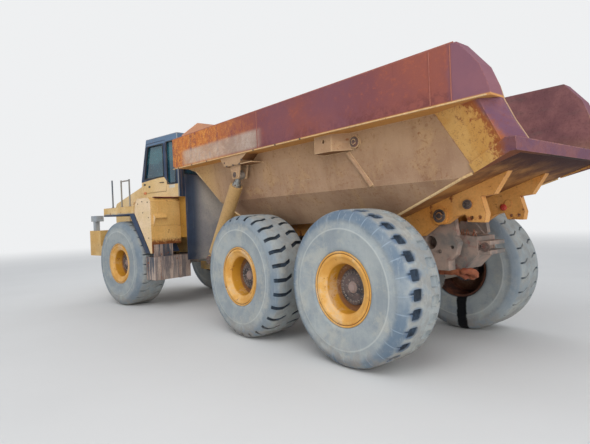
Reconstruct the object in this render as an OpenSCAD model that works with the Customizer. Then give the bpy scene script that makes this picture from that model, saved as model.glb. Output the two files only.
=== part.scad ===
// Articulated six-wheel dump truck, parked with its front unit turned a little to the left.
// +X points forward, +Y to the left, +Z up. The origin is on the floor under the steering pivot.
// The front unit is drawn straight ahead and then turned about the pivot by steer_rest.

/* [Wheels] */
// Outer diameter of a tyre, over its lugs
tyre_d = 1750; // [1600:10:1850]
// Width of a tyre
tyre_w = 675; // [560:5:720]
// Diameter of the rim under the tyre's bead
rim_d = 820; // [760:10:880]
// Diameter of the opening in the rim's outer dish
rim_open_d = 550; // [480:10:600]
// Depth of the hub's face behind the rim's outer edge
hub_recess = 175; // [120:5:220]
// Distance between the middles of a left and a right tyre
track = 2360; // [2250:10:2500]
// Spindle diameter of every axle
spindle_d = 200; // [160:5:220]

/* [Axles] */
// Distance from the steering pivot forward to the front axle
front_axle_x = 1500; // [1450:10:1600]
// Distance from the steering pivot back to the middle axle
mid_axle_back = 2950; // [2900:10:3050]
// Distance between the middle axle and the rear axle
tandem = 2020; // [1950:10:2100]
// Diameter of the axle tubes
axle_d = 240; // [200:5:246]

/* [Frame] */
// Distance between the outer faces of the rear frame's rails
frame_w = 760; // [700:10:790]
// Width of one rear frame rail
frame_rail_w = 140; // [80:5:160]
// Height of the rear frame's underside
frame_z0 = 1000; // [1000:5:1060]
// Height of the rear frame's top
frame_z1 = 1420; // [1350:5:1425]
// Height of the roll axis at the hitch
roll_z = 900; // [880:5:920]
// Diameter of the hitch's vertical boss
hitch_boss_d = 260; // [220:5:270]
// Diameter of the roll shaft in the rear frame's nose
roll_shaft_d = 180; // [140:5:200]
// Diameter of the steering pivot pin
pivot_pin_d = 110; // [80:5:130]
// Angle at which the front unit stands, turned to the left
steer_rest = 8; // [0:1:10]

/* [Dump bed] */
// Half width of the bed's floor, to the outside of its walls
bed_floor_half = 660; // [600:10:700]
// Half width of the bed at the crease of its side panels
bed_crease_half = 1005; // [960:5:1020]
// Height of the crease
bed_crease_z = 1995; // [1950:5:2050]
// Half width of the side panels at their top edge
bed_side_half = 1100; // [1060:5:1120]
// Width of the box rails along the top
bed_rail_w = 220; // [180:5:260]
// Height of the underside of the box rails
bed_band_z0 = 2640; // [2600:5:2700]
// Height of the top of the box rails
bed_band_z1 = 3180; // [3100:5:3250]
// Height of the floor's underside
bed_floor_z = 1550; // [1530:5:1580]
// Wall and floor thickness
bed_wall = 25; // [12:1:40]
// Distance from the pivot back to the bed's front edge
bed_front_back = 670; // [650:5:750]
// Distance from the pivot back to the point where the floor turns up
bed_kink_back = 5120; // [5050:10:5200]
// Height of the floor's underside at that point
bed_kink_z = 1630; // [1600:5:1660]
// Distance from the pivot back to the tip of the tail
bed_tip_back = 6810; // [6700:10:6900]
// Distance from the pivot back to the bed's hinge
bed_hinge_back = 5590; // [5560:5:5620]
// Height of the bed's hinge
bed_hinge_z = 1630; // [1610:5:1650]
// Diameter of the bed's hinge pins
bed_pin_d = 90; // [60:5:110]

/* [Hoist] */
// Distance from the pivot back to the hoist's lower pin
hoist_base_back = 1720; // [1700:5:1730]
// Height of the hoist's lower pin
hoist_base_z = 1040; // [1020:5:1060]
// Distance from the pivot back to the hoist's upper eye
hoist_eye_back = 2630; // [2600:5:2660]
// Height of the hoist's upper eye
hoist_eye_z = 2360; // [2340:5:2380]
// Outer diameter of the hoist barrels
hoist_d = 200; // [160:5:204]

/* [Cab and hood] */
// Half width of the cab
cab_half = 900; // [860:5:920]
// Distance from the pivot to the cab's rear wall
cab_x0 = 100; // [80:5:140]
// Distance from the pivot to the cab's front, at the foot of the windscreen
cab_x1 = 1490; // [1460:5:1500]
// Height of the cab's floor
cab_floor_z = 2220; // [2200:5:2240]
// Height of the sills of the cab's windows
cab_sill_z = 2600; // [2560:5:2650]
// Height of the cab's roof
cab_roof_z = 3470; // [3400:5:3520]
// Thickness of the cab's walls
cab_wall = 60; // [40:5:80]
// Half width of the hood
hood_half = 740; // [700:5:745]
// Half width of the base under the cab, which the fenders and side boxes are set against
base_half = 750; // [750:5:790]
// Thickness of the hood's plates
hood_wall = 20; // [10:1:30]
// Outer face of the fenders, from the middle plane
fender_half = 1430; // [1400:5:1440]

/* [Clearances] */
// Radial clearance of pins and shafts in their bores
fit_gap = 0.05; // [0.02:0.01:0.1]
// Gap where one body sits on another
seat_gap = 0.3; // [0.2:0.1:0.5]
// Gap round the door and the hood
panel_gap = 8; // [6:1:12]

/* [Hidden] */
$fn = 48;

axle_z = tyre_d / 2;
// Heights above the axles are drawn for axles at axle_drawn_z, and up() carries them with the tyre
axle_drawn_z = 875;
lift = axle_z - axle_drawn_z;
bed_rail_half = bed_side_half + bed_rail_w;
hoist_y = bed_side_half + 90;
wheel_y = track / 2;
mid_x = -mid_axle_back;
rear_x = -mid_axle_back - tandem;
rim_face = 300;
hub_w = rim_face - hub_recess;
hub_d = 410;
rail_y1 = frame_w / 2;
rail_y0 = rail_y1 - frame_rail_w;
hinge_x = -bed_hinge_back;
rail_back_x = hinge_x - 10;
nose_x = -420;
nose_back_x = -760;

// Outline drawn in (x, z), carried across from y0 to y1
module across(y0, y1) translate([0, y1, 0]) rotate([90, 0, 0]) linear_extrude(y1 - y0) children();
// Section drawn in (y, z), carried along from x0 to x1
module along(x0, x1) translate([x0, 0, 0]) rotate([90, 0, 90]) linear_extrude(x1 - x0) children();
// Box between two corners
module block(x0, x1, y0, y1, z0, z1) translate([x0, y0, z0]) cube([x1 - x0, y1 - y0, z1 - z0]);
// Round bar between two points
module bar(a, b, r) {
  d = b - a;
  n = norm(d);
  translate(a) rotate([0, acos(d[2] / n), atan2(d[1], d[0])]) cylinder(h = n, r = r);
}
// Round bar across the machine, from y0 to y1
module crossbar(x, z, y0, y1, r) translate([x, y0, z]) rotate([-90, 0, 0]) cylinder(h = y1 - y0, r = r);
module both() { children(); mirror([0, 1, 0]) children(); }
module up() translate([0, 0, lift]) children();
module front() up() rotate([0, 0, steer_rest]) children();

// Wheels: one revolved profile each, with w counted outwards from the tyre's middle
tyre_r = tyre_d / 2;
bead_r = rim_d / 2 + seat_gap;
lugs = 28;
groove_w = 46;
groove_slant = 14;
groove_z0 = 60;
// V-shaped grooves between the lugs of one half of the tread, as deep as the tyre's wear has left them
module grooves(depth) for (i = [0:lugs - 1]) rotate([0, 0, (i + 0.25) * 360 / lugs])
  translate([tyre_r - depth, 0, groove_z0]) rotate([groove_slant, 0, 0]) linear_extrude(tyre_w / 2)
    polygon([[0, 0], [1.5 * depth, -0.75 * groove_w], [1.5 * depth, 0.75 * groove_w]]);
module tyre(depth) {
  h = tyre_w / 2;
  side = [[bead_r, 0.89 * h], [0.60 * tyre_r, 0.955 * h], [0.755 * tyre_r, h], [0.90 * tyre_r, 0.93 * h],
          [0.975 * tyre_r, 0.80 * h], [tyre_r, 0.60 * h]];
  inner = [for (i = [5:-1:0]) [side[i][0], -side[i][1]]];
  color("slategray") rotate([-90, 0, 0]) difference() {
    rotate_extrude($fn = 2 * lugs) polygon(concat(side, inner));
    grooves(depth);
    rotate([180, 0, 0]) grooves(depth);
  }
}
hub_back = 130;
module rim() {
  r1 = rim_d / 2;
  ro = rim_open_d / 2;
  rh = hub_d / 2;
  disc_w = hub_w - 40;
  color("goldenrod") rotate([-90, 0, 0]) difference() {
    union() {
      rotate_extrude($fn = 96) polygon([[r1 - 28, 5 - rim_face], [r1, 5 - rim_face], [r1, rim_face],
        [r1 - 14, rim_face + 14], [r1 - 60, rim_face + 14], [ro, rim_face - 40], [ro, disc_w], [rh - 1, disc_w],
        [rh - 1, disc_w - 50], [r1 - 28, disc_w - 50]]);
      translate([0, 0, -hub_back]) cylinder(h = hub_w + hub_back, r = rh);
      cylinder(h = hub_w + 30, r = 50);
    }
    translate([0, 0, -hub_back - 1]) cylinder(h = hub_w + hub_back - 59, r = spindle_d / 2 + fit_gap);
  }
}
module wheel_at(x, side) translate([x, side * wheel_y, axle_z]) mirror([0, side < 0 ? 1 : 0, 0]) children();
module front_wheel_at(side) rotate([0, 0, steer_rest]) wheel_at(front_axle_x, side) children();

// Axle housing with its spindles
module axle_housing(x) {
  end_y = wheel_y - hub_back - seat_gap;
  crossbar(x, axle_z, -end_y, end_y, axle_d / 2);
  crossbar(x, axle_z, -wheel_y - hub_w + 70, wheel_y + hub_w - 70, spindle_d / 2);
  translate([x - 190, 0, axle_z]) rotate([0, 90, 0]) cylinder(h = 380, r = 225);
  translate([x + 190, 0, axle_z]) rotate([0, 90, 0]) cylinder(h = 130, r1 = 150, r2 = 80);
}

beam_z0 = axle_z + axle_d / 2 + 20;
beam_x = mid_x - tandem / 2;
beam_pin_z = beam_z0 + 130;
beam_y0 = rail_y1 + 80;
beam_y1 = beam_y0 + 130;
module rear_axles() color("dimgray") {
  for (x = [mid_x, rear_x]) {
    axle_housing(x);
    both() block(x - 110, x + 110, beam_y0, beam_y1, axle_z, beam_z0 - seat_gap);
  }
}
module walking_beams() color("dimgray") both() difference() {
  across(beam_y0, beam_y1) polygon([[mid_x + 130, beam_z0], [mid_x + 130, beam_z0 + 90],
    [beam_x + 150, beam_z0 + 240], [beam_x - 150, beam_z0 + 240], [rear_x - 130, beam_z0 + 90],
    [rear_x - 130, beam_z0], [rear_x + 250, beam_z0], [beam_x, beam_z0 + 40], [mid_x - 250, beam_z0]]);
  crossbar(beam_x, beam_pin_z, beam_y0 - 1, beam_y1 + 1, 70 + fit_gap);
}

// Rear frame: two box rails, the nose that holds the roll shaft, and the tail casting
tail_x = -5860;
tail_half = 200;
cheek_x = -5735;
cheek_hole_r = 80;
tow_x = tail_x - 60;
tow_z = 1255;
tow_d = 54;
module rear_frame() up() color("gray") difference() {
  union() {
    both() {
      block(rail_back_x, nose_x - 200, rail_y0, rail_y1, frame_z0, frame_z1);
      crossbar(beam_x, beam_pin_z - lift, rail_y1, beam_y1 + 15, 70);
      crossbar(-hoist_base_back, hoist_base_z, rail_y1, hoist_y - 60, 75);
      crossbar(-hoist_base_back, hoist_base_z, hoist_y - 60, hoist_y + 62, 40);
      crossbar(-hoist_base_back, hoist_base_z, hoist_y + 56, hoist_y + 76, 65);
      across(rail_y1 - 70, rail_y1) polygon([[hinge_x + 190, frame_z1 - 20], [hinge_x + 100, bed_hinge_z + 20],
        [hinge_x - 100, bed_hinge_z + 20], [hinge_x - 130, frame_z1 - 20]]);
      crossbar(hinge_x, bed_hinge_z, rail_y1 - 70, rail_y1, 100);
    }
    for (x = [-2600, -3900]) both()
      block(x - 120, x + 120, rail_y0, rail_y1, frame_z1 - 1, floor_under(x + 120) - seat_gap);
    for (x = [-1500, -2450, -3500, -4400, rail_back_x + 90])
      crossbar(x, frame_z0 + 280, -rail_y0 - 1, rail_y0 + 1, 90);
    across(-rail_y0, rail_y0) polygon([[nose_x, roll_z - 150], [nose_x, roll_z + 150], [nose_x - 200, frame_z1],
      [-1000, frame_z1], [-900, roll_z + 160], [nose_back_x, roll_z + 160], [nose_back_x, roll_z - 150]]);
    both() across(rail_y0 + 40, rail_y1) polygon([[rail_back_x + 300, frame_z0], [rail_back_x + 300, frame_z1],
      [cheek_x + 350, frame_z1 + 130], [cheek_x + 150, frame_z1 + 100], [cheek_x, frame_z1 - 95],
      [cheek_x + 45, frame_z0 + 180], [cheek_x + 195, frame_z0 + 60]]);
    across(-tail_half, tail_half) polygon([[rail_back_x + 60, frame_z0], [rail_back_x + 60, frame_z1],
      [rail_back_x - 50, frame_z1 - 20], [tail_x, frame_z1 - 40], [tail_x, frame_z0 + 180],
      [rail_back_x - 80, frame_z0]]);
    block(tail_x - 130, tail_x + 1, -170, 170, tow_z - 75, tow_z + 75);
  }
  translate([nose_back_x - 1, 0, roll_z]) rotate([0, 90, 0]) cylinder(h = 400, r = roll_shaft_d / 2 + fit_gap);
  block(tail_x - 200, tail_x + 10, -180, 180, tow_z - 30, tow_z + 30);
  translate([tow_x, 0, tow_z - 100]) cylinder(h = 200, r = tow_d / 2);
  crossbar(hinge_x, bed_hinge_z, -rail_y1 - 1, rail_y1 + 1, bed_pin_d / 2 + fit_gap);
  both() {
    crossbar(cheek_x + 361, frame_z1 - 101, rail_y0 - 1, rail_y1 + 1, cheek_hole_r);
    crossbar(cheek_x + 84, frame_z1 - 152, rail_y0 - 1, rail_y1 + 1, 22);
  }
}

// Curved guard sheets ahead of the middle wheels
guard_x = -950;
guard_out = 150;
guard_y = bed_side_half + guard_out;
guard_r = 580;
guard_t = 12;
guard_z0 = 1010;
guard_tail_x = -1600;
module guards() up() color("slategray") both() {
  intersection() {
    translate([0, 0, guard_z0]) linear_extrude(bed_band_z0 - guard_z0) {
      intersection() {
        translate([guard_x - guard_r, guard_y]) difference() {
          circle(r = guard_r, $fn = 96);
          circle(r = guard_r - guard_t, $fn = 96);
        }
        translate([guard_x - guard_r, guard_y - guard_r]) square([guard_r, guard_r]);
      }
      translate([guard_tail_x, guard_y - guard_r]) square([guard_x - guard_r - guard_tail_x, guard_t]);
    }
    across(0, guard_y + 10) polygon([[-800, 900], [-800, bed_band_z0 - 50], [nose_run_x, nose_z - 70],
      [-1650, ramp_z + 130], [-1650, 900]]);
  }
  block(guard_tail_x + 20, guard_tail_x + 120, rail_y1, guard_y - guard_r, 1060, 1180);
}

// Hitch: vertical boss on the steering pivot, and the roll shaft
ear_x = -220;
ear_y = 360;
module hitch() up() color("dimgray") difference() {
  union() {
    translate([0, 0, roll_z - 130]) cylinder(h = 260, r = hitch_boss_d / 2);
    translate([nose_back_x - 30, 0, roll_z]) rotate([0, 90, 0])
      cylinder(h = -nose_back_x - 40, r = roll_shaft_d / 2);
    translate([nose_back_x - 35, 0, roll_z]) rotate([0, 90, 0]) cylinder(h = 30, r = 125);
    for (z = [roll_z - 60, roll_z + 35]) both() {
      block(ear_x - 60, ear_x + 60, 60, ear_y, z, z + 25);
      translate([ear_x, ear_y, z]) cylinder(h = 25, r = 60);
    }
    block(ear_x - 60, ear_x + 60, -220, 220, roll_z - 60, roll_z + 60);
  }
  translate([0, 0, roll_z - 200]) cylinder(h = 400, r = pivot_pin_d / 2 + fit_gap);
}

// Front frame, straight ahead: rails, neck and the two lugs that take the pivot pin
fr_y0 = 300;
fr_y1 = 420;
fr_z0 = 1040;
fr_z1 = 1380;
fr_x0 = 340;
fr_x1 = 2950;
barrel_x = 1000;
barrel_y = 380;
module front_frame() front() color("goldenrod") {
  both() {
    block(fr_x0, fr_x1, fr_y0, fr_y1, fr_z0, fr_z1);
    translate([barrel_x, barrel_y, roll_z - 50]) cylinder(h = fr_z0 - roll_z + 55, r = 35);
  }
  for (x = [420, 1080, 1900, 2700]) block(x, x + 160, -fr_y0, fr_y0, fr_z0 + 60, fr_z1 - 30);
  for (z = [roll_z - 240, roll_z + 134]) {
    translate([0, 0, z]) cylinder(h = 106, r = 150);
    block(0, 420, -130, 130, z, z + 106);
  }
  block(250, 560, -110, 110, roll_z - 240, fr_z1 - 30);
  translate([0, 0, roll_z - 290]) cylinder(h = 580, r = pivot_pin_d / 2);
  for (z = [roll_z - 290, roll_z + 250]) translate([0, 0, z]) cylinder(h = 40, r = 85);
}
module front_axle() rotate([0, 0, steer_rest]) color("dimgray") {
  axle_housing(front_axle_x);
  both() block(front_axle_x - 110, front_axle_x + 110, fr_y0, fr_y1, axle_z, fr_z0 + lift - seat_gap);
}
bumper_half = 1350;
bumper_z0 = 1000;
bumper_z1 = 1570;
module bumper() front() color("goldenrod") {
  block(fr_x1, fr_x1 + 150, -bumper_half, bumper_half, bumper_z0, bumper_z1);
  both() {
    block(fr_x1 - 370, fr_x1, bumper_half - 170, bumper_half, bumper_z0, bumper_z1);
    block(fr_x1 - 480, fr_x1 - 369, bumper_half - 170, bumper_half, bumper_z0, bumper_z0 + 225);
    block(hood_hinge_x - 25, hood_x1, hood_lug_y - 20, hood_lug_y + 20, bumper_z1 - 10, hood_hinge_z + 10);
    crossbar(hood_hinge_x, hood_hinge_z, hood_lug_y - 50, hood_lug_y + 50, hood_pin_r);
  }
}
// Lamps stand on posts on the bumper's ends
module head_lamps() front() color("black") both() {
  block(fr_x1 - 130, fr_x1 - 20, bumper_half - 110, bumper_half - 10, bumper_z1, bumper_z1 + 211);
  difference() {
    block(fr_x1 - 210, fr_x1 + 60, bumper_half - 170, bumper_half, bumper_z1 + 210, bumper_z1 + 340);
    block(fr_x1 + 30, fr_x1 + 61, bumper_half - 155, bumper_half - 15, bumper_z1 + 225, bumper_z1 + 325);
  }
}
engine_half = 410;
radiator_half = 620;
module engine() front() color("gray") block(1700, 2650, -engine_half, engine_half, fr_z1, fr_z1 + 610);
module radiator() front() color("gray") block(2740, 2860, -radiator_half, radiator_half, fr_z1, fr_z1 + 700);

// Fenders: top plate, outer skirt and the leg that slopes down behind the tyre
leg_foot_z = 1100;
fender_z0 = tyre_d - lift + 120;
fender_z1 = fender_z0 + 180;
module fenders() front() color("goldenrod") both() difference() {
  across(base_half + seat_gap, fender_half) polygon([[940, fender_z0 + 30], [925, fender_z1], [2200, fender_z1],
    [2210, fender_z0], [1100, fender_z0], [540, leg_foot_z], [390, leg_foot_z]]);
  across(base_half - 1, fender_half - 25) polygon([[980, fender_z0 + 20], [970, fender_z1 - 30],
    [2170, fender_z1 - 30], [2180, fender_z0 - 1], [1100, fender_z0 - 1], [540, leg_foot_z - 1],
    [430, leg_foot_z - 1]]);
}
// Boxes behind the fenders
side_x0 = 320;
hooded_z = 1885;
box_z0 = 1270;
box_z1 = cab_floor_z - 30;
module side_box() {
  across(base_half + seat_gap, fender_half - 10) polygon([[side_x0, box_z0], [side_x0, box_z1 - 70],
    [400, box_z1],
    [800, box_z1], [905, box_z1 - 130], [925, 1900], [495, box_z0]]);
  across(fender_half - 40, fender_half - 10) polygon([[side_x0, leg_foot_z], [side_x0, box_z0 + 1],
    [495, box_z0 + 1],
    [380, leg_foot_z]]);
  // hooded bracket on the rear face: a sloping roof and one cheek
  across(fender_half - 330, fender_half - 60) polygon([[side_x0 + 1, hooded_z], [side_x0 + 1, hooded_z - 14],
    [side_x0 - 76, hooded_z - 104], [side_x0 - 80, hooded_z - 90]]);
  across(fender_half - 72, fender_half - 60) polygon([[side_x0 + 1, hooded_z], [side_x0 - 80, hooded_z - 90],
    [side_x0 + 1, hooded_z - 270]]);
}
module side_box_left() front() color("goldenrod") side_box();
module side_box_right() front() color("goldenrod") mirror([0, 1, 0]) side_box();
// Tanks hang under the side boxes on a bracket each, clear of the front tyres
tank_l = 340;
tank_gap = 35;
tank_x1 = front_axle_x - tyre_r - tank_gap;
tank_x0 = tank_x1 - tank_l;
tank_z0 = 580;
tank_z1 = 1030;
module tank() {
  block(tank_x0, tank_x1, base_half - 150, fender_half - 30, tank_z0, tank_z1);
  block(side_x0 + 5, side_x0 + 60, base_half + 200, fender_half - 60, tank_z1 - 1, box_z0);
  // straps round the tank
  for (y = [base_half + 60, fender_half - 190]) difference() {
    block(tank_x0 - 6, tank_x1 + 6, y, y + 50, tank_z0 - 6, tank_z1 + 6);
    block(tank_x0 + 1, tank_x1 - 1, y - 1, y + 51, tank_z0 + 1, tank_z1 - 1);
  }
}
module tank_left() front() color("tan") tank();
module tank_right() front() color("tan") mirror([0, 1, 0]) tank();

// Cab: base skirt, shell with its windows cut, door, glass, seat and dash
cab_lean = 250;
module cab_outline(inset) polygon([[cab_x0 + inset, cab_floor_z - 20 + inset],
  [cab_x0 + inset, cab_roof_z - inset],
  [cab_x1 - cab_lean - inset, cab_roof_z - inset], [cab_x1 - inset, cab_sill_z - inset / 4],
  [cab_x1 - inset, cab_floor_z - 20 + inset]]);
module cab_base() front() color("goldenrod") difference() {
  block(cab_x0, cab_x1, -base_half, base_half, fr_z1, cab_floor_z - 20);
  block(cab_x0 + cab_wall, cab_x1 - cab_wall, -base_half + cab_wall, base_half - cab_wall,
    fr_z1 - 1, cab_floor_z - 80);
}
win_top_z = cab_roof_z - 140;
door_x0 = cab_x0 + 440;
door_x1 = cab_x1 - 20;
door_z0 = cab_floor_z + 110;
door_z1 = cab_roof_z - 90;
// Side openings are drawn once, shrunk by g for what fills them
module door_outline(g) polygon([[door_x0 + g, door_z0 + g], [door_x0 + g, door_z1 - g],
  [door_x1 - cab_lean + 10 - g, door_z1 - g], [door_x1 - 40 - g, cab_sill_z], [door_x1 - 40 - g, door_z0 + g]]);
module door_window(g) polygon([[door_x0 + 80 + g, cab_sill_z + 40 + g], [door_x0 + 80 + g, win_top_z - 20 - g],
  [door_x1 - cab_lean - 40 - g, win_top_z - 20 - g], [door_x1 - 110 - g, cab_sill_z + 40 + g]]);
module rear_side_window(g) polygon([[cab_x0 + 90 + g, cab_sill_z - 120 + g], [cab_x0 + 90 + g, win_top_z - g],
  [door_x0 - 50 - g, win_top_z - g], [door_x0 - 50 - g, cab_sill_z - 120 + g]]);
module cab_shell() front() color("midnightblue") difference() {
  across(-cab_half, cab_half) cab_outline(0);
  across(-cab_half + cab_wall, cab_half - cab_wall) cab_outline(cab_wall);
  across(cab_half - cab_wall - 1, cab_half + 1) door_outline(0);
  across(-cab_half - 1, -cab_half + cab_wall + 1) door_window(0);
  both() across(cab_half - cab_wall - 1, cab_half + 1) rear_side_window(0);
  block(cab_x0 - 1, cab_x0 + cab_wall + 1, -cab_half + 120, cab_half - 120, cab_sill_z, win_top_z);
  block(cab_x0 + 300, cab_x1 + 1, -cab_half + 110, cab_half - 110, cab_sill_z + 60, win_top_z);
}
glass_t = 8;
glass_in = 26;
module cab_glass() front() color("teal", 0.5) {
  both() across(cab_half - glass_in - glass_t, cab_half - glass_in) rear_side_window(0);
  across(-cab_half + glass_in, -cab_half + glass_in + glass_t) door_window(0);
  block(cab_x0 + glass_in, cab_x0 + glass_in + glass_t, -cab_half + 120, cab_half - 120, cab_sill_z, win_top_z);
  intersection() {
    across(-cab_half + 110, cab_half - 110) difference() {
      cab_outline(glass_in);
      cab_outline(glass_in + glass_t);
    }
    block(cab_x0 + 300, cab_x1 + 1, -cab_half, cab_half, cab_sill_z + 60, win_top_z);
  }
}
module door() front() color("midnightblue") difference() {
  across(cab_half - cab_wall, cab_half) door_outline(panel_gap);
  across(cab_half - cab_wall - 1, cab_half + 1) door_window(0);
}
module door_glass() front() color("teal", 0.5)
  across(cab_half - glass_in - glass_t, cab_half - glass_in) door_window(0);
module seat() front() color("black") {
  block(420, 900, -250, 250, cab_floor_z + cab_wall - 20, cab_floor_z + 330);
  block(330, 450, -240, 240, cab_floor_z + 330, min(cab_floor_z + 980, cab_roof_z - cab_wall - 100));
}
module dash() front() color("dimgray") {
  block(1180, cab_x1 - cab_wall, -600, 600, cab_floor_z + cab_wall - 20, cab_sill_z - 40);
  bar([1240, 0, cab_sill_z - 80], [1020, 0, cab_floor_z + 560], 25);
  crossbar(1020, cab_floor_z + 560, -190, 190, 10);
  translate([1020, 0, cab_floor_z + 560]) rotate([0, -45, 0]) rotate_extrude() translate([190,
    0]) circle(r = 14);
  translate([1020, 0, cab_floor_z + 560]) rotate([0, -45, 0]) cylinder(h = 14, r = 60);
}
rail_y = fender_half - 90;
rail_r = 16;
rail_x0 = 1225;
module handrails() front() color("dimgray") both() {
  // x, height of each post
  for (post = [[rail_x0, 570], [rail_x0 + 335, 570], [rail_x0 + 725, 600]])
    translate([post[0], rail_y, fender_z1]) cylinder(h = post[1], r = rail_r);
  translate([rail_x0, rail_y, fender_z1 + 545]) rotate([0, 90, 0]) cylinder(h = 335, r = rail_r - 2);
}

// Hood over the engine, hinged at its lower front edge
hood_x0 = cab_x1 + 20;
hood_x1 = 3000;
hood_hinge_x = hood_x1 - 20;
hood_hinge_z = 1640;
hood_lug_y = 520;
hood_pin_r = 14;
module hood_outline(t) polygon([[hood_x0, 1600 - 2 * t], [hood_x0, 2580 - t], [hood_x1 - 60 - t, 2190 - t],
  [hood_x1 - t, 2110 - t], [hood_x1 - t, 1600 - 2 * t]]);
module hood() front() color("goldenrod") difference() {
  union() {
    difference() {
      across(-hood_half, hood_half) hood_outline(0);
      across(-hood_half + hood_wall, hood_half - hood_wall) translate([-1, 0]) hood_outline(hood_wall);
    }
    both() for (y = [hood_lug_y - 55, hood_lug_y + 30])
      block(hood_hinge_x - 35, hood_x1, y, y + 25, hood_hinge_z - 35, hood_hinge_z + 45);
  }
  both() {
    block(hood_hinge_x - 50, hood_x1 + 1, hood_lug_y - 28, hood_lug_y + 28, 1599, hood_hinge_z + 60);
    crossbar(hood_hinge_x, hood_hinge_z, hood_lug_y - 60, hood_lug_y + 60, hood_pin_r + fit_gap);
  }
  for (i = [0:6]) block(hood_x1 - 100, hood_x1 + 1, -560, 560, 1732 + i * 52, 1762 + i * 52);
}

// Steering cylinders, from the front frame to the hitch's ears
steer_rod_len = 820;
function barrel_pin(s) = [barrel_x * cos(steer_rest) - s * barrel_y * sin(steer_rest),
                          barrel_x * sin(steer_rest) + s * barrel_y * cos(steer_rest), roll_z];
function ear_pin(s) = [ear_x, s * ear_y, roll_z];
module steer_barrel(s) {
  a = barrel_pin(s);
  d = (ear_pin(s) - a) / norm(ear_pin(s) - a);
  difference() {
    union() {
      bar(a + d * 70, a + d * 760, 62);
      translate(a - [0, 0, 45]) cylinder(h = 90, r = 75);
    }
    translate(a - [0, 0, 60]) cylinder(h = 120, r = 35 + fit_gap);
    bar(a + d * 110, a + d * 761, 32 + fit_gap);
  }
}
module steer_rod(s) {
  a = barrel_pin(s);
  e = ear_pin(s);
  d = (e - a) / norm(e - a);
  bar(e - d * steer_rod_len, e - d * 40, 32);
  translate(e - [0, 0, 25]) cylinder(h = 50, r = 55);
}
module steer_barrel_left() up() color("dimgray") steer_barrel(1);
module steer_rod_left() up() color("silver") steer_rod(1);
module steer_barrel_right() up() color("dimgray") steer_barrel(-1);
module steer_rod_right() up() color("silver") steer_rod(-1);

// Bed: one section across and one outline along cut every plate
bed_x0 = -bed_front_back;
tip_x = -bed_tip_back;
kink_x = -bed_kink_back;
front_foot_x = -2300;
tip_z = 2270;
lip_h = 80;
function section(t) = [[bed_floor_half - t, bed_floor_z - 400], [bed_floor_half - t, bed_floor_z + t],
  [bed_crease_half - t, bed_crease_z], [bed_side_half - t, bed_band_z0],
    [bed_side_half - t + 80, bed_band_z1 + 400]];
module bed_inside(x0, x1) along(x0, x1) polygon(concat(section(bed_wall),
  [for (i = [4:-1:0]) [-section(bed_wall)[i][0], section(bed_wall)[i][1]]]));
// Front wall: a shallow nose under the rails, then the ramp down to the floor
nose_run_x = bed_x0 - 430;
nose_z = 2560;
ramp_x = bed_x0 - 1180;
ramp_z = 1900;
bed_front_line = [[bed_x0, bed_band_z1 + 10], [bed_x0, bed_band_z0 + 50], [nose_run_x, nose_z],
  [ramp_x, ramp_z],
  [front_foot_x, bed_floor_z]];
bed_floor_line = [[front_foot_x, bed_floor_z], [kink_x, bed_kink_z], [tip_x + 60, tip_z - lip_h]];
bed_rear_line = [[tip_x, tip_z], [tip_x + 90, 2440], [tip_x + 170, 2630], [tip_x + 200, 2750],
  [tip_x + 270, 2930], [tip_x + 470, bed_band_z1 - 5]];
// Height of the floor's underside at x
function floor_under(x) = x > kink_x
  ? bed_floor_z + (bed_kink_z - bed_floor_z) * (x - front_foot_x) / (kink_x - front_foot_x)
  : bed_kink_z + (tip_z - lip_h - bed_kink_z) * (x - kink_x) / (tip_x + 60 - kink_x);
module side_outline()
  polygon(concat(bed_front_line, [bed_floor_line[1], bed_floor_line[2]], bed_rear_line));
module bed_floor() up() color("saddlebrown") intersection() {
  across(-1300, 1300) polygon(concat(bed_floor_line, [[tip_x, tip_z], [kink_x, bed_kink_z + bed_wall],
    [front_foot_x, bed_floor_z + bed_wall]]));
  bed_inside(tip_x, bed_x0);
}
// Section of the bed's outer faces, box rails included, up to height z
module bed_outside(x0, x1, z) along(x0, x1) polygon([[-bed_floor_half, bed_floor_z],
  [bed_floor_half, bed_floor_z],
  [bed_crease_half, bed_crease_z], [bed_side_half, bed_band_z0], [bed_rail_half, bed_band_z0],
    [bed_rail_half, z],
  [-bed_rail_half, z], [-bed_rail_half, bed_band_z0], [-bed_side_half, bed_band_z0],
    [-bed_crease_half, bed_crease_z]]);
// Lock bracket, its hole, round boss and rib on a side panel, all named by their distance from the pivot
lock_x = -4526;
lock_z = 2566;
boss_x = -4891;
boss_z = 2523;
module bed_side() difference() {
  union() {
    intersection() {
      bed_outside(tip_x, bed_x0, bed_band_z1);
      across(0, bed_rail_half + 1) side_outline();
    }
    translate([0, 0, lock_z - 130]) linear_extrude(bed_band_z0 - lock_z + 130)
      polygon([[lock_x + 156, bed_crease_half], [lock_x + 156, bed_side_half + 150],
        [lock_x - 134, bed_side_half + 150], [lock_x - 334, bed_crease_half + 60]]);
    crossbar(boss_x, boss_z, bed_side_half - 60, bed_side_half + 5, 75);
    crossbar(boss_x, boss_z, bed_side_half - 60, bed_side_half + 22, 34);
    bar([lock_x - 226, bed_side_half - 36, bed_band_z0 - 227], [lock_x - 520, bed_crease_half,
      bed_crease_z + 3], 30);
  }
  bed_inside(tip_x - 1, bed_x0 + 1);
  crossbar(lock_x, lock_z, bed_side_half + 80, bed_side_half + 151, 24);
}
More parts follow.
